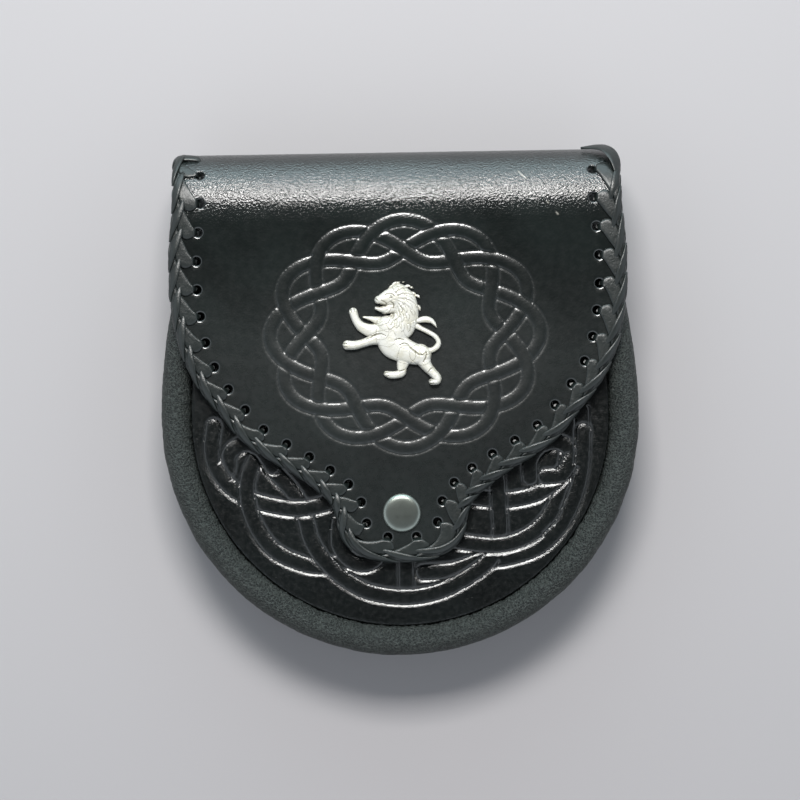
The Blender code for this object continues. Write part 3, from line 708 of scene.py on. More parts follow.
panel_cells = (
    (0.36 * MM, by_a_band),
    (1.4 * MM, lambda x, y: y < 0.0),
    (3.0 * MM, lambda x, y: True),
)
tooled_panel = leather_sheet("tooled_panel", panel_outline(), [], PANEL, panel_place, panel_cells,
                             panel_lift)
glossy_leather = leather("glossy_leather", (0.0018, 0.0025, 0.0025), (0.0036, 0.0050, 0.0050), 0.19,
                         1700.0, 0.00005, shine=0.7)
tooled_panel.data.materials.append(glossy_leather)
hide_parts("front_panel")
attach(tooled_panel, "root")

# The gusset is one strip of soft 1.8 mm leather round the sides and bottom. It is rolled over a rim
# in front, where it gathers slightly, drawn in at the side and turned under the back panel.
GUSSET = 1.8 * MM
GUSSET_FLANGE = 6.5 * MM
GUSSET_WAIST = 2.2 * MM
SIDE_ROWS = (
    # in, down
    (0.30, 0.15),
    (1.00, 0.50),
    (0.95, 0.80),
)


def gusset_path():
    """The gusset's outer line from the left end of the mouth, round the bottom, to the right."""
    right = body_side(0.0, 90, MOUTH_Y, 60)
    return even_rows([(-x, y) for x, y in right[:0:-1]] + right, 0.5 * MM)


def gusset_section():
    """Rows of the strip's middle: distance outwards from its outer line, and height."""
    half = GUSSET / 2
    inner = -(RIM_WIDTH + GUSSET_FLANGE)
    front_z = PANEL_Z - PANEL - GAP - half
    rear_z = LOOP_STAND + HIDE + GAP + half
    crown_half = RIM_WIDTH / 2 - half
    shoulder_z = PANEL_Z - RIM_RISE / 4
    crown_height = PANEL_Z + RIM_RISE - half - shoulder_z
    rows = [(inner, front_z), (-RIM_WIDTH - 2 * half, front_z), (-RIM_WIDTH + half, front_z + half)]
    for k in range(17):
        angle = math.pi * (1 - k / 16)
        rows.append((-RIM_WIDTH / 2 + crown_half * math.cos(angle),
                     shoulder_z + crown_height * math.sin(angle)))
    side = [rows[-1]] + [(-half - inward * GUSSET_WAIST, shoulder_z + down * (rear_z - shoulder_z))
                         for inward, down in SIDE_ROWS]
    side += [(-BACK_INSET - 2 * half, rear_z + half / 2), (-BACK_INSET - 4 * half, rear_z)]
    rows += smooth_rows(side, 6)[1:]
    rows.append((inner, rear_z))
    even = even_rows(rows, 0.85 * MM)
    rim_end = next(i for i, (u, z) in enumerate(even) if u > -2 * half and z < shoulder_z)
    return even[:rim_end] + even[rim_end::3] + even[-1:]


def gathers(travelled, number, u):
    """How far the soft strip stands up in fine gathers, which are deepest by its inner fold."""
    inward = share_of(-u / RIM_WIDTH, 1.3)
    place = Vector((travelled / (1.5 * MM), number * 0.16, 3.7))
    broad = Vector((travelled / (9.0 * MM), number * 0.08, 11.3))
    return ((0.12 + 0.42 * inward ** 2) * noise.noise(place) + 0.30 * noise.noise(broad)) * MM


gusset_rows = gusset_section()
gusset_normals = side_normals(gusset_rows)
bm = bmesh.new()
rings = []
path = gusset_path()
inner_skin = list(range(len(gusset_rows) - 1, 0, -3)) + [0]
for number, ((x, y), (nx, ny)) in enumerate(zip(path, side_normals(path))):
    ring = []
    for side, order in ((1, range(len(gusset_rows))), (-1, inner_skin)):
        for i in order:
            (u, z), (nu, nz) = gusset_rows[i], gusset_normals[i]
            reach = -GUSSET / 2 * side
            if side == 1 and 0 < i < len(gusset_rows) - 1:
                reach -= gathers(number * 0.5 * MM, i, u)
            ring.append((x + nx * (u + nu * reach), y + ny * (u + nu * reach), z + nz * reach))
    rings.append(ring)
skin(bm, rings)
gathered_gusset = finished(bm, "gathered_gusset")
mesh = gathered_gusset.data
along = mesh.attributes.new("along", "FLOAT", "POINT")
inward = mesh.attributes.new("inward", "FLOAT", "POINT")
for i in range(len(mesh.vertices)):
    row, column = divmod(i, len(rings[0]))
    along.data[i].value = row * 0.5
    if column < len(gusset_rows):
        inward.data[i].value = share_of(-gusset_rows[column][0] / RIM_WIDTH, 1.3) ** 2
soft_leather = leather("soft_leather", (0.004, 0.0056, 0.0052), (0.029, 0.035, 0.032), 0.48,
                       1250.0, 0.00070, shine=0.30, speckled=True)
mesh.materials.append(soft_leather)
tree = soft_leather.node_tree
deep = attribute(tree, "inward")
spot = node(tree, "CombineXYZ", {"X": attribute(tree, "along"), "Y": deep}).outputs["Vector"]
folds = node(tree, "TexNoise", {"Vector": spot, "Scale": 0.95, "Detail": 2.0}).outputs["Fac"]
deeper = node(tree, "Math", {0: folds, 1: deep}, operation="MULTIPLY").outputs["Value"]
shader = tree.nodes["Principled BSDF"]
crease = node(tree, "Bump", {"Strength": 1.0, "Distance": 1.1 * MM, "Height": deeper,
                             "Normal": shader.inputs["Normal"].links[0].from_socket})
tree.links.new(crease.outputs["Normal"], shader.inputs["Normal"])
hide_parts("gusset")
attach(gathered_gusset, "root")

# The edge lace is one long flat strip of soft black calf. Each stitch rises from a hole, runs back to
# the edge as a broad petal, loops over the edge under the next one and so makes a plaited cord there.
LACE_THICK = 1.0 * MM
edge_rows = whole_edge()
edge_line = even_rows(
    [(LACING_START - 14 * MM, -ROLL_HALF, HOLE_INSET, 1.0)] + edge_rows
    + [(LACING_START - 14 * MM, ROLL_HALF, HOLE_INSET, 1.0)], 0.25 * MM)
edge_sides = []
for i in range(len(edge_line)):
    before = edge_line[max(i - 10, 0)]
    after = edge_line[min(i + 10, len(edge_line) - 1)]
    length = math.hypot(after[0] - before[0], after[1] - before[1])
    edge_sides.append(((after[1] - before[1]) / length, (before[0] - after[0]) / length))
edge_tree = tree_of([row[:2] for row in edge_line])
lace_feet = [edge_tree.find((s, x, 0.0))[1] for s, x in lace_places]
lace_reach = [edge_tree.find((s, x, 0.0))[2] for s, x in lace_places]


def by_edge(q, n, h):
    """A point by the laced edge: q counts holes along it, n is outwards and h off the hide's middle."""
    k = int(share_of(math.floor(q), HOLES - 2))
    i = lace_feet[k] + (q - k) * (lace_feet[k + 1] - lace_feet[k])
    i = share_of(i, len(edge_line) - 1.001)
    whole, part = int(i), i - int(i)
    (s0, x0), (s1, x1) = edge_line[whole][:2], edge_line[whole + 1][:2]
    ns, nx = edge_sides[whole]
    return hide_place(s0 + (s1 - s0) * part + ns * n, x0 + (x1 - x0) * part + nx * n, h)


PETAL_BACK = (
    # holes on, share of the way in
    (-1.12, 0.00),
    (-0.93, 0.18),
    (-0.72, 0.36),
    (-0.50, 0.54),
    (-0.30, 0.70),
    (-0.17, 0.83),
    (-0.12, 0.93),
    (-0.10, 1.00),
)
PETAL_FRONT = (
    (-0.20, 0.00),
    (0.03, 0.14),
    (0.19, 0.32),
    (0.24, 0.50),
    (0.21, 0.68),
    (0.15, 0.82),
    (0.10, 0.92),
    (0.08, 1.00),
)
PETAL_SECTION = (
    # across, height as a share of the lace's thickness
    (0.00, 0.05),
    (0.00, 0.75),
    (0.05, 1.05),
    (0.14, 1.18),
    (0.32, 1.16),
    (0.50, 1.12),
    (0.68, 1.08),
    (0.84, 1.04),
    (0.95, 0.86),
    (1.00, 0.50),
    (1.00, 0.02),
)


def lace_petal(bm, k, lean):
    """The part of a stitch that lies on the flap, from under the edge cord into its hole."""
    inset = lace_reach[k] - 0.25 * HOLE_RADIUS
    start = -0.6 * MM
    rings = []
    back_rows = smooth_rows(PETAL_BACK, 3)
    front_rows = smooth_rows(PETAL_FRONT, 3)
    for (back_q, back_in), (front_q, front_in) in zip(back_rows, front_rows):
        left_to_go = (1.0 - (back_in + front_in) / 2) * inset
        dip = max(1.0 - left_to_go / (1.3 * MM), 0.0)
        ring = []
        for across, height in PETAL_SECTION:
            q = k + lean * (back_q + (front_q - back_q) * across)
            share = back_in + (front_in - back_in) * across
            fold = 0.07 * math.sin(across * 14.0 + k) * share
            h = HIDE / 2 + LACE_THICK * (height * (1.0 + fold) - 2.9 * dip ** 1.6)
            ring.append(by_edge(q, start - (inset + start) * share, h))
        rings.append(ring)
    skin(bm, rings)


STRIP_SECTION = ((-1.0, 0.0), (-0.9, 0.36), (-0.6, 0.52), (0.0, 0.60), (0.6, 0.52), (0.9, 0.36),
                 (1.0, 0.0), (0.85, -0.35), (0.0, -0.45), (-0.85, -0.35))


def lace_strip(bm, rows):
    """A flat strip through rows of (centre, outward direction, half width)."""
    rings = []
    for i, (centre, outward, half_width) in enumerate(rows):
        ahead = rows[min(i + 1, len(rows) - 1)][0] - rows[max(i - 1, 0)][0]
        side = ahead.cross(outward).normalized()
        up = side.cross(ahead).normalized()
        rings.append([centre + side * (a * half_width) + up * (b * LACE_THICK) for a, b in STRIP_SECTION])
    skin(bm, rings)


CORD_ROWS = (
    # holes on, outwards, height off the hide's middle, half width, tilt over the edge in degrees
    (-1.12, -2.7, 1.8, 0.50, 0.0),
    (-0.92, -2.2, 2.6, 1.00, 2.0),
    (-0.66, -1.3, 3.0, 1.30, 10.0),
    (-0.38, -0.3, 2.9, 1.40, 24.0),
    (-0.10, 0.6, 2.3, 1.35, 42.0),
    (0.16, 1.2, 1.4, 1.15, 62.0),
    (0.36, 1.35, 0.6, 0.60, 80.0),
)


def edge_strip(bm, table, k=0.0, side=1):
    """A strip of lace by the edge, k holes on, over its upper or lower corner."""
    rows = []
    for q, n, h, half_width, tilt in table:
        centre = by_edge(k + q, n * MM, side * h * MM)
        above = by_edge(k + q, n * MM, side * (h + 1.0) * MM)
        beyond = by_edge(k + q, (n + 1.0) * MM, side * h * MM)
        turn = math.radians(tilt)
        outward = (above - centre) * math.cos(turn) + (beyond - centre) * math.sin(turn)
        rows.append((centre, outward.normalized(), half_width * MM))
    lace_strip(bm, rows)


UNDER_ROWS = (
    # holes on, share of the way to the hole, height off the hide's middle, half width
    (0.0, 0.93, -0.6, 0.9),
    (-0.05, 0.84, -1.9, 1.5),
    (-0.25, 0.45, -2.1, 2.4),
    (-0.45, 0.12, -2.2, 2.4),
)
EDGE_BAND = ((-2.6, 1.6), (0.2, 1.9), (1.0, 1.5), (1.25, 0.8),
             (1.25, -0.8), (1.0, -1.5), (0.2, -1.9), (-2.6, -1.6))
bm = bmesh.new()
skin(bm, [[by_edge(-0.75 + 36.5 * i / 500, n * MM, h * MM) for n, h in EDGE_BAND] for i in range(501)])
for k in range(HOLES):
    lace_petal(bm, k, 1.0 if k else 0.5)
    for side in (1, -1):
        edge_strip(bm, smooth_rows(CORD_ROWS, 4), k + (0.5 if side < 0 else 0.0), side)
    rows = []
    for q, share, h, half_width in smooth_rows(UNDER_ROWS, 3):
        centre = by_edge(k + q, -share * lace_reach[k], h * MM)
        below = by_edge(k + q, -share * lace_reach[k], (h - 1.0) * MM)
        rows.append((centre, (below - centre).normalized(), half_width * MM))
    lace_strip(bm, rows)
LACE_START = (
    # holes on, outwards, height off the hide's middle, half width (mm), tilt over the edge
    (-0.80, -9.0, 0.6, 1.2, 0.0),
    (-0.81, -7.8, 1.9, 1.7, 0.0),
    (-0.84, -5.0, 2.3, 2.0, 0.0),
    (-0.82, -1.6, 2.5, 2.1, 8.0),
    (-0.76, 0.6, 1.9, 2.0, 48.0),
    (-0.70, 1.5, 0.4, 1.8, 84.0),
    (-0.60, 1.3, -1.3, 1.4, 120.0),
    (-0.50, 0.2, -2.0, 0.8, 160.0),
)
LACE_TAIL = (
    (34.62, 0.5, 0.9, 1.6, 66.0),
    (34.92, 0.3, 2.4, 2.3, 50.0),
    (35.22, -0.4, 3.5, 2.9, 34.0),
    (35.50, -1.9, 4.2, 3.1, 20.0),
    (35.74, -4.2, 4.3, 2.9, 8.0),
    (35.90, -7.2, 3.8, 2.2, 0.0),
    (35.98, -10.4, 3.2, 1.2, 0.0),
    (36.02, -12.8, 2.8, 0.15, 0.0),
)
for ends in (LACE_START, LACE_TAIL):
    edge_strip(bm, smooth_rows(ends, 5))
edge_lace = finished(bm, "edge_lace", sharp=50)
lace_leather = leather("lace_leather", (0.004, 0.0062, 0.0057), (0.009, 0.0125, 0.0115), 0.38,
                       1300.0, 0.00005)
edge_lace.data.materials.append(lace_leather)
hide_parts("edge_lacing")
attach(edge_lace, "root")

# The press stud: a 15 mm domed cap on the tab, its post through the flap into a socket behind, and
# the lower half riveted through the panel, all of brass plated with satin nickel.
CAP_PROFILE = (
    # radius, height above the flap's face
    (0.0, 1.90), (1.5, 1.89), (3.0, 1.87), (4.4, 1.82), (5.4, 1.75), (6.1, 1.64), (6.5, 1.51), (6.85, 1.30),
    (7.15, 1.00), (7.36, 0.66), (7.48, 0.36), (7.45, 0.12), (7.2, 0.03), (6.6, 0.03), (2.0, 0.03),
    (2.0, -3.3), (5.5, -3.3), (5.5, -4.0), (5.2, -4.1), (2.6, -4.1), (2.6, -3.7), (0.0, -3.7),
)
TURNED_SIDES = 96


def turned(bm, profile, s, x, sides):
    """A piece turned about the flap's upright at s and x, from rows of (radius, height above it) in mm."""
    foot = hide_place(s, x, HIDE / 2)
    up = (hide_place(s, x, HIDE / 2 + MM) - foot).normalized()
    along = (hide_place(s + MM, x, HIDE / 2) - foot).normalized()
    across = Vector((1.0, 0.0, 0.0))
    rings = skin(bm, [[foot + up * height * MM
                       + (across * math.cos(2 * math.pi * i / sides)
                          + along * math.sin(2 * math.pi * i / sides)) * radius * MM
                       for i in range(sides)] for radius, height in profile[1:-1]], capped=False)
    for ring, (_, height) in ((rings[0], profile[0]), (rings[-1], profile[-1])):
        tip = bm.verts.new(foot + up * height * MM)
        for i in range(sides):
            bm.faces.new((tip, ring[(i + 1) % sides], ring[i]))


bm = bmesh.new()
turned(bm, CAP_PROFILE, SNAP_S, 0.0, TURNED_SIDES)
domed_cap = finished(bm, "domed_cap", sharp=40)


def plated(name, colour, dull, roughness, grain, bump, metallic=1.0):
    """Cast or plated metal: fine grain in the surface, with dull patches in its colour and sheen."""
    material, tree, shader, place = painted(name)
    shader.inputs["Metallic"].default_value = metallic
    fine = node(tree, "TexNoise", {"Vector": place, "Scale": grain, "Detail": 4.0})
    patches = node(tree, "TexNoise", {"Vector": place, "Scale": grain / 8, "Detail": 5.0}).outputs["Fac"]
    dent = node(tree, "Bump", {"Strength": 1.0, "Distance": bump, "Height": fine.outputs["Fac"]})
    tree.links.new(dent.outputs["Normal"], shader.inputs["Normal"])
    shade = blend(tree, spread(tree, patches, 0.42, 0.72), (*colour, 1.0), (*dull, 1.0))
    tree.links.new(shade, shader.inputs["Base Color"])
    gloss = spread(tree, patches, 0.0, 1.0, roughness - 0.05, roughness + 0.08)
    tree.links.new(gloss, shader.inputs["Roughness"])
    return material


satin_nickel = plated("satin_nickel", (0.245, 0.270, 0.245), (0.19, 0.21, 0.19), 0.30, 2600.0, 0.000012)
domed_cap.data.materials.append(satin_nickel)
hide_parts("snap_cap")
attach(domed_cap, "root")
bpy.data.objects["snap_stud"].data.materials.clear()
bpy.data.objects["snap_stud"].data.materials.append(satin_nickel)

# The badge is a lion rampant cast in bright white metal, flat behind. Its limbs overlap as they do in
# the mould, mane, toes and joints are cut in, and two posts are riveted through the flap.
LION_RELIEF = 4.2 * MM
LION_EDGE = 0.6 * MM
LION_CELL = 0.21 * MM
LION_LIMBS = {
    # limb: (share of the relief, rows of across, up and half width in hundredths of the height)
    "far_foreleg": (0.42, ((-29.2, 18.2, 0.8), (-21.3, 16.4, 2.3), (-12.3, 13.5, 4.9), (-4.6, 10.3, 6.7))),
    "raised_foreleg": (0.66, ((-39.0, 23.3, 4.2), (-36.4, 15.4, 4.0), (-31.5, 9.0, 4.9), (-22.6, 4.9, 6.4),
                              (-12.3, 3.8, 7.9))),
    "low_foreleg": (0.74, ((-45.4, -9.2, 4.6), (-37.9, -9.4, 4.2), (-29.0, -7.2, 4.0), (-21.3, -4.6, 4.9),
                           (-12.3, -2.8, 6.9), (-5.9, -2.6, 8.5))),
    "trunk": (0.94, ((-5.9, 9.0, 10.3), (-3.6, 0.6, 13.6), (0.5, -8.7, 14.4), (11.4, -15.6, 12.1),
                     (21.0, -19.0, 10.5), (28.1, -20.5, 9.2))),
    "mane": (0.92, ((6.3, 41.7, 8.7), (10.8, 34.6, 11.5), (13.3, 25.6, 11.8), (12.1, 16.7, 12.8),
                    (8.2, 9.0, 13.5), (3.1, 3.8, 12.2))),
    "head": (0.90, ((-14.0, 34.9, 3.9), (-8.5, 35.6, 6.9), (-2.1, 36.8, 9.2), (4.4, 38.0, 10.0))),
    "jaw": (0.66, ((-16.4, 26.7, 1.5), (-11.7, 25.6, 2.8), (-5.9, 25.9, 4.6), (1.8, 28.2, 6.4))),
    "left_hind_leg": (0.60, ((13.3, -19.2, 8.5), (9.7, -25.9, 6.7), (8.2, -31.8, 5.1), (7.7, -37.2, 4.1),
                             (2.4, -39.2, 3.6), (-3.3, -39.2, 3.5), (-7.2, -38.2, 2.8))),
    "right_hind_leg": (0.82, ((26.2, -19.2, 10.0), (29.7, -25.6, 7.4), (32.8, -31.4, 5.4), (37.9, -37.2, 4.4),
                              (42.3, -42.6, 4.4), (42.6, -45.9, 3.5), (37.4, -46.7, 3.1))),
    "tail": (0.42, ((30.6, -16.0, 4.1), (37.7, -15.6, 2.6), (43.2, -11.8, 2.8), (44.5, -7.1, 2.4),
                    (41.3, -1.9, 2.3), (34.9, 2.3, 2.2), (27.4, 6.2, 2.4), (20.4, 10.3, 3.1))),
    "tail_tuft": (0.46, ((22.1, 12.6, 1.3), (26.2, 14.1, 2.6), (31.9, 14.9, 3.1), (37.4, 13.6, 2.6),
                         (40.9, 10.3, 1.5), (42.8, 6.9, 0.4))),
    "ear": (0.98, ((3.4, 43.4, 1.8), (5.6, 45.6, 1.2))),
}
LION_CUTS = (
    # cut lines: rows of across, up and half width in hundredths of the height
    ((-14.5, 30.2, 0.9), (-11.0, 30.4, 1.1), (-7.5, 29.3, 0.9), (-5.5, 30.6, 0.4)),
    ((-7.5, 40.0, 0.4), (-4.0, 41.0, 0.8), (0.0, 40.2, 0.8), (2.0, 38.0, 0.4)),
    ((-16.6, 36.4, 0.6), (-15.6, 35.0, 0.9), (-14.4, 34.9, 0.5)),
    ((-11.0, 34.4, 0.3), (-8.0, 33.0, 0.7), (-5.6, 30.6, 0.3)),
    ((-2.5, 33.5, 0.3), (1.0, 30.5, 0.8), (0.5, 26.5, 0.4)),
    ((-26.5, -3.6, 0.3), (-18.7, 0.2, 0.8), (-12.3, 1.6, 0.8), (-7.5, -0.5, 0.4)),
    ((14.5, -10.5, 0.3), (20.0, -15.5, 0.9), (25.5, -19.5, 1.0), (30.0, -19.0, 0.8), (32.5, -15.5, 0.3)),
    ((33.0, -16.5, 0.3), (31.5, -22.5, 0.9), (29.0, -27.0, 0.4)),
    ((5.5, -10.0, 0.3), (10.5, -8.0, 0.6), (15.0, -9.5, 0.3)),
    ((1.0, -5.0, 0.3), (5.5, -3.5, 0.6), (10.5, -4.6, 0.3)),
    ((11.0, -33.5, 0.3), (8.5, -35.0, 0.7), (5.0, -35.5, 0.3)),
    ((34.0, -36.5, 0.3), (36.5, -33.5, 0.7), (39.0, -33.0, 0.3)),
)
LION_TOES = (
    # foot: across, up, direction the toes point in degrees
    (-39.6, 25.4, 108.0),
    (-47.6, -9.2, 180.0),
    (-7.4, -38.6, 190.0),
    (37.2, -46.6, 186.0),
)


def lion_tree(rows):
    """A search tree over a limb's middle line, with its half width at each point."""
    unit = LION_HEIGHT / 100
    fine = even_rows([(x * unit, y * unit, r * unit) for x, y, r in smooth_rows(rows, 8)], 0.12 * MM)
    return tree_of([row[:2] for row in fine]), [row[2] for row in fine]


def mane_locks():
    """Locks that radiate from the cheek and fall down the neck, in overlapping rows."""
    locks = []
    for ring in range(5):
        for k in range(10):
            angle = math.radians(86.0 - 24.0 * k + 12.0 * (ring % 2))
            reach = 9.5 + 6.2 * ring
            fall = max(-math.sin(angle), 0.0)
            x = -1.0 + reach * math.cos(angle) * 0.72 + 2.5 * fall
            y = 33.5 + reach * math.sin(angle) * (0.62 + 0.75 * fall)
            lean = angle - 0.35 - 0.25 * math.cos(angle)
            length = 8.2 - 0.4 * ring
            mid = (x + 0.5 * length * math.cos(lean), y + 0.5 * length * math.sin(lean))
            lean -= 0.55
            tip = (mid[0] + 0.5 * length * math.cos(lean), mid[1] + 0.5 * length * math.sin(lean))
            if y > 6.0 and x > -11.0:
                locks.append(((x, y, 1.3), (*mid, 1.75), (*tip, 0.25)))
    return locks


lion_limbs = {name: (share, *lion_tree(rows)) for name, (share, rows) in LION_LIMBS.items()}
lion_cuts = [lion_tree(rows) for rows in LION_CUTS]
for across, up, degrees in LION_TOES:
    turn = math.radians(degrees)
    for side in (-1.7, 1.7):
        x = across - side * math.sin(turn)
        y = up + side * math.cos(turn)
        lion_cuts.append(lion_tree((
            (x + 2.8 * math.cos(turn), y + 2.8 * math.sin(turn), 0.95),
            (x - 2.2 * math.cos(turn), y - 2.2 * math.sin(turn), 0.40))))
lion_locks = [lion_tree(rows) for rows in mane_locks()]
EYE = (-1.6 * LION_HEIGHT / 100, 37.6 * LION_HEIGHT / 100)


def lion_inside(x, y):
    """How far a point lies within the figure's outline, negative outside it."""
    reach = -1.0
    for _, tree, widths in lion_limbs.values():
        _, index, distance = tree.find((x, y, 0.0))
        reach = max(reach, widths[index] - distance)
    if -1.6 * MM < reach < 0.0:
        for tree, widths in lion_locks:
            _, index, distance = tree.find((x, y, 0.0))
            reach = max(reach, 0.8 * widths[index] - distance)
    return reach


def lion_height(x, y):
    """Height of the cast face over its flat back, and how deep in a recess the point lies, which sets the
    painted shade there.
    """
    top = LION_EDGE
    mane = 0.0
    crease = 0.0
    for name, (share, tree, widths) in lion_limbs.items():
        _, index, distance = tree.find((x, y, 0.0))
        across = distance / widths[index]
        if across < 1.0:
            height = LION_EDGE + (share * LION_RELIEF - LION_EDGE) * (1 - across ** 2.3) ** 0.5
            if height > top:
                top = height
                mane = 1.0 if name in ("mane", "trunk", "jaw") else 0.0
        elif distance - widths[index] < 0.30 * MM and name not in ("mane", "ear"):
            top -= 0.16 * MM
            crease = 1.0 - (distance - widths[index]) / (0.30 * MM)
    # The recess value darkens the colour as painted shade: along limb outlines, between locks, in the cuts
    # and round the eye.
    recess = 0.75 * crease
    if mane or top < 1.6 * LION_EDGE:
        best = 0.0
        touched = False
        for tree, widths in lion_locks:
            _, index, distance = tree.find((x, y, 0.0))
            if distance < 1.1 * widths[index]:
                touched = True
                best = max(best, 1 - (distance / (1.1 * widths[index])) ** 2)
        if touched:
            top += 0.55 * MM * best - 0.18 * MM
            recess = 0.8 * (1 - best) ** 2
    for tree, widths in lion_cuts:
        _, index, distance = tree.find((x, y, 0.0))
        across = distance / (widths[index] * 1.25)
        if across < 1.0:
            top -= 0.42 * MM * (1 - across * across)
            recess = max(recess, 1 - across)
    eye = math.dist((x, y), EYE)
    if eye < 1.0 * MM:
        top += 0.30 * MM * math.cos(2.6 * math.pi * eye / MM) * (1 - eye / MM)
        recess = max(recess, 0.9 if 0.3 * MM < eye < 0.55 * MM else 0.0)
    top += 0.05 * MM * noise.noise(Vector((x, y, 0.0)) * (1 / (0.7 * MM)))
    return max(top, 0.5 * LION_EDGE), recess


def lion_place(x, y, h):
    """A point of the badge: across and up from its middle, h over the flap's face."""
    return hide_place(LION_S - y, LION_X + x, HIDE / 2 + GAP + h)


bm = bmesh.new()
recess_layer = bm.verts.layers.float.new("recess")
half_size = 0.53 * LION_HEIGHT
count = int(2 * half_size / LION_CELL)
row_step = LION_CELL * TRIANGLE_ROWS
rows_up = int(2 * half_size / row_step)
grid = {}
for r in range(rows_up):
    for c in range(count):
        x = -half_size + (c + 0.5 * (r % 2)) * LION_CELL
        y = -half_size + r * row_step
        reach = lion_inside(x, y)
        if reach < -0.5 * LION_CELL:
            continue
        if reach < 0.5 * LION_CELL:
            step = 0.02 * MM
            slope_x = (lion_inside(x + step, y) - reach) / step
            slope_y = (lion_inside(x, y + step) - reach) / step
            slope = max(slope_x ** 2 + slope_y ** 2, 0.2)
            x -= reach * slope_x / slope
            y -= reach * slope_y / slope
            height, recess = 0.75 * LION_EDGE, 0.0
        else:
            height, recess = lion_height(x, y)
        front = bm.verts.new(lion_place(x, y, height))
        back = bm.verts.new(lion_place(x, y, 0.0))
        front[recess_layer] = recess
        grid[r, c] = (front, back)
for r in range(rows_up - 1):
    shift = r % 2
    for c in range(count - 1):
        if shift:
            corners = (((r, c), (r, c + 1), (r + 1, c + 1)), ((r, c), (r + 1, c + 1), (r + 1, c)))
        else:
            corners = (((r, c), (r, c + 1), (r + 1, c)), ((r, c + 1), (r + 1, c + 1), (r + 1, c)))
        for corner in corners:
            if all(place in grid for place in corner):
                bm.faces.new([grid[place][0] for place in corner])
                bm.faces.new([grid[place][1] for place in corner[::-1]])
partner = {front: back for front, back in grid.values()}
for edge in [edge for edge in bm.edges if edge.is_boundary and edge.verts[0] in partner]:
    a, b = edge.verts
    bm.faces.new((a, b, partner[b], partner[a]))
for vert in [vert for vert in bm.verts if not vert.link_faces]:
    bm.verts.remove(vert)
for across, up in LION_POSTS:
    turned(bm, ((0.0, 1.0), (1.2, 1.0), (1.2, -3.3), (2.5, -3.3), (2.5, -4.1), (0.0, -4.1)),
           LION_S - up * LION_HEIGHT, LION_X + across * LION_HEIGHT, 24)
cast_lion = finished(bm, "cast_lion", sharp=55)
bright_metal = plated("bright_cast_metal", (0.54, 0.53, 0.485), (0.45, 0.43, 0.35), 0.36, 2200.0, 0.00003,
                      metallic=0.25)
tree = bright_metal.node_tree
shader = tree.nodes["Principled BSDF"]
polished = shader.inputs["Base Color"].links[0].from_socket
# Recesses are darkened in the base colour: mostly painted shade, with a little brown tarnish.
tarnish_and_painted_shade = blend(tree, attribute(tree, "recess"), polished, (0.10, 0.09, 0.06, 1.0))
tree.links.new(tarnish_and_painted_shade, shader.inputs["Base Color"])
cast_lion.data.materials.append(bright_metal)
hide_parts("lion_badge")
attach(cast_lion, "root")

# Two flat leather loops stand on the back for a belt. Black waxed thread stitches them down at their
# feet, and stitches the back panel to the gusset's turned-in edge.
LOOP_MIDDLES = (-38.0 * MM, 38.0 * MM)
LOOP_MIDDLE_Y = ROLL_Y - 57.5 * MM
LOOP_REACH = 45.5 * MM
LOOP_FEET = (LOOP_MIDDLE_Y + LOOP_REACH, LOOP_MIDDLE_Y - LOOP_REACH)
SEAM_INSET = BACK_INSET + 4.2 * MM
BACKWARDS = Vector((0.0, 0.0, -1.0))
STITCH_STEP = 3.6 * MM
STITCH_LENGTH = 2.9 * MM
THREAD = 0.4 * MM
STITCH_ROWS = ((0.0, -0.5), (0.12, 0.35), (0.3, 0.9), (0.7, 0.9), (0.88, 0.35), (1.0, -0.5))


def stitch(bm, start, end):
    """One stitch of round thread that rises from a hole and goes down again in the next."""
    side = (end - start).normalized().cross(BACKWARDS).normalized()
    rings = []
    for share, lift in STITCH_ROWS:
        middle = start + (end - start) * share + BACKWARDS * lift * THREAD
        rings.append([middle + (side * math.cos(turn) + BACKWARDS * math.sin(turn)) * THREAD
                      for turn in (math.pi * k / 3 for k in range(6))])
    skin(bm, rings)


bm = bmesh.new()
seam = body_side(SEAM_INSET, 120, ROLL_Y - 10 * MM, 40)
seam = even_rows([(-x, y) for x, y in seam[:0:-1]] + seam, STITCH_STEP)
for (x0, y0), (x1, y1) in zip(seam, seam[1:]):
    length = math.hypot(x1 - x0, y1 - y0)
    start = Vector((x0, y0, LOOP_STAND))
    end = start + Vector((x1 - x0, y1 - y0, 0.0)) * (STITCH_LENGTH / length)
    stitch(bm, start, end)
for middle in LOOP_MIDDLES:
    for foot in LOOP_FEET:
        for row in (-3.2 * MM, 3.2 * MM):
            for k in range(6):
                x = middle + (k - 3) * STITCH_STEP + 0.35 * MM
                start = Vector((x, foot + row, LOOP_STAND - 2.0 * MM))
                stitch(bm, start, start + Vector((STITCH_LENGTH, 0.0, 0.0)))
back_stitches = finished(bm, "back_stitches")
waxed_thread = leather("waxed_thread", (0.020, 0.021, 0.020), (0.045, 0.047, 0.045), 0.42, 3200.0, 0.00006)
back_stitches.data.materials.append(waxed_thread)
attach(back_stitches, "root")
for name in ("belt_loop_left", "belt_loop_right"):
    bpy.data.objects[name].data.materials.clear()
    bpy.data.objects[name].data.materials.append(tooled_leather)

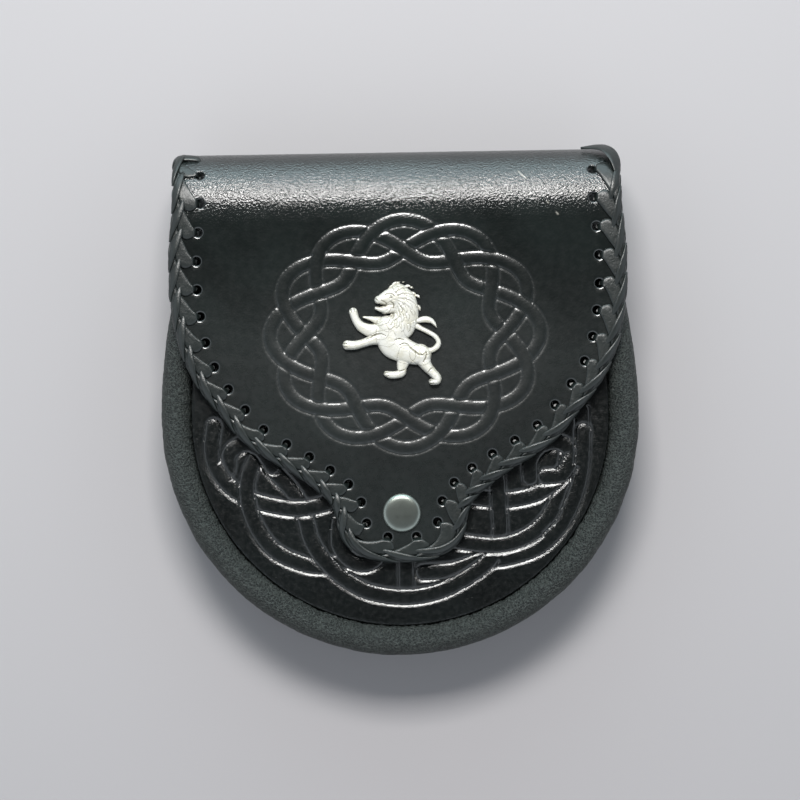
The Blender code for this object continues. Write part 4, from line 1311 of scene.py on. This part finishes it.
# The studio: a pale floor, one wide soft light beyond the pouch's top, a pale room round it, and
# the camera straight above, turned by the small angle at which the pouch lies in the picture.
FLOOR_SIDE = 3.0
bm = bmesh.new()
corners = ((-1, -1), (1, -1), (1, 1), (-1, 1))
bm.faces.new([bm.verts.new((FLOOR_SIDE * a, FLOOR_SIDE * b, 0.0)) for a, b in corners])
mesh = bpy.data.meshes.new("floor")
bm.to_mesh(mesh)
bm.free()
floor = bpy.data.objects.new("floor", mesh)
bpy.context.scene.collection.objects.link(floor)
floor_paint = bpy.data.materials.new("floor_paint")
floor_paint.use_nodes = True
shader = floor_paint.node_tree.nodes["Principled BSDF"]
shader.inputs["Base Color"].default_value = (0.300, 0.290, 0.297, 1.0)
shader.inputs["Roughness"].default_value = 0.9
shader.inputs["Specular IOR Level"].default_value = 0.1
mesh.materials.append(floor_paint)
floor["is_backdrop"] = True

LIT_SPOT = Vector((0, 0.05, 0.03))
LIGHTS = (
    # name, width, height, power, colour, place
    ("soft_box", 0.42, 0.29, 19.0, (1.0, 0.99, 0.97), (-0.03, 0.56, 0.97)),
    ("side_panel", 1.8, 0.5, 12.0, (0.72, 0.95, 1.0), (-0.1, 1.25, 0.42)),
)
for name, width, height, power, colour, place in LIGHTS:
    panel = bpy.data.lights.new(name, "AREA")
    panel.shape = "RECTANGLE"
    panel.size = width
    panel.size_y = height
    panel.energy = power
    panel.color = colour
    light = bpy.data.objects.new(name, panel)
    light.location = place
    light.rotation_euler = (LIT_SPOT - light.location).to_track_quat("-Z", "Y").to_euler()
    bpy.context.scene.collection.objects.link(light)

world = bpy.data.worlds.new("room")
bpy.context.scene.world = world
world.use_nodes = True
tree = world.node_tree
backdrop = tree.nodes["Background"]
direction = node(tree, "TexCoord", {}).outputs["Generated"]
overhead = Vector((0.06, 0.17, 1.0)).normalized()
toward = node(tree, "VectorMath", {0: direction, 1: overhead}, operation="DOT_PRODUCT").outputs["Value"]
fade = node(tree, "MapRange", {"Value": toward, "From Min": math.cos(math.radians(52.0)),
                               "From Max": math.cos(math.radians(20.0))}, interpolation_type="SMOOTHSTEP")
walls = blend(tree, fade.outputs["Result"], (0.86, 0.93, 1.0, 1.0), (0.03, 0.03, 0.03, 1.0))
tree.links.new(walls, backdrop.inputs["Color"])
backdrop.inputs["Strength"].default_value = 1.20

CAMERA_HEIGHT = 1.10
CAMERA_TURN = math.radians(0.95)
PIXEL = 0.3886 * MM
SENSOR = 36.0
camera_data = bpy.data.cameras.new("camera")
camera_data.sensor_width = SENSOR
camera_data.lens = SENSOR * (CAMERA_HEIGHT - 35.0 * MM) / (800 * PIXEL)
camera = bpy.data.objects.new("camera", camera_data)
camera.location = (0.0, 1.15 * MM, CAMERA_HEIGHT)
camera.rotation_euler = (0.0, 0.0, -CAMERA_TURN)
bpy.context.scene.collection.objects.link(camera)
bpy.context.scene.camera = camera
bpy.context.scene.view_settings.view_transform = "Standard"

low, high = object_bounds()
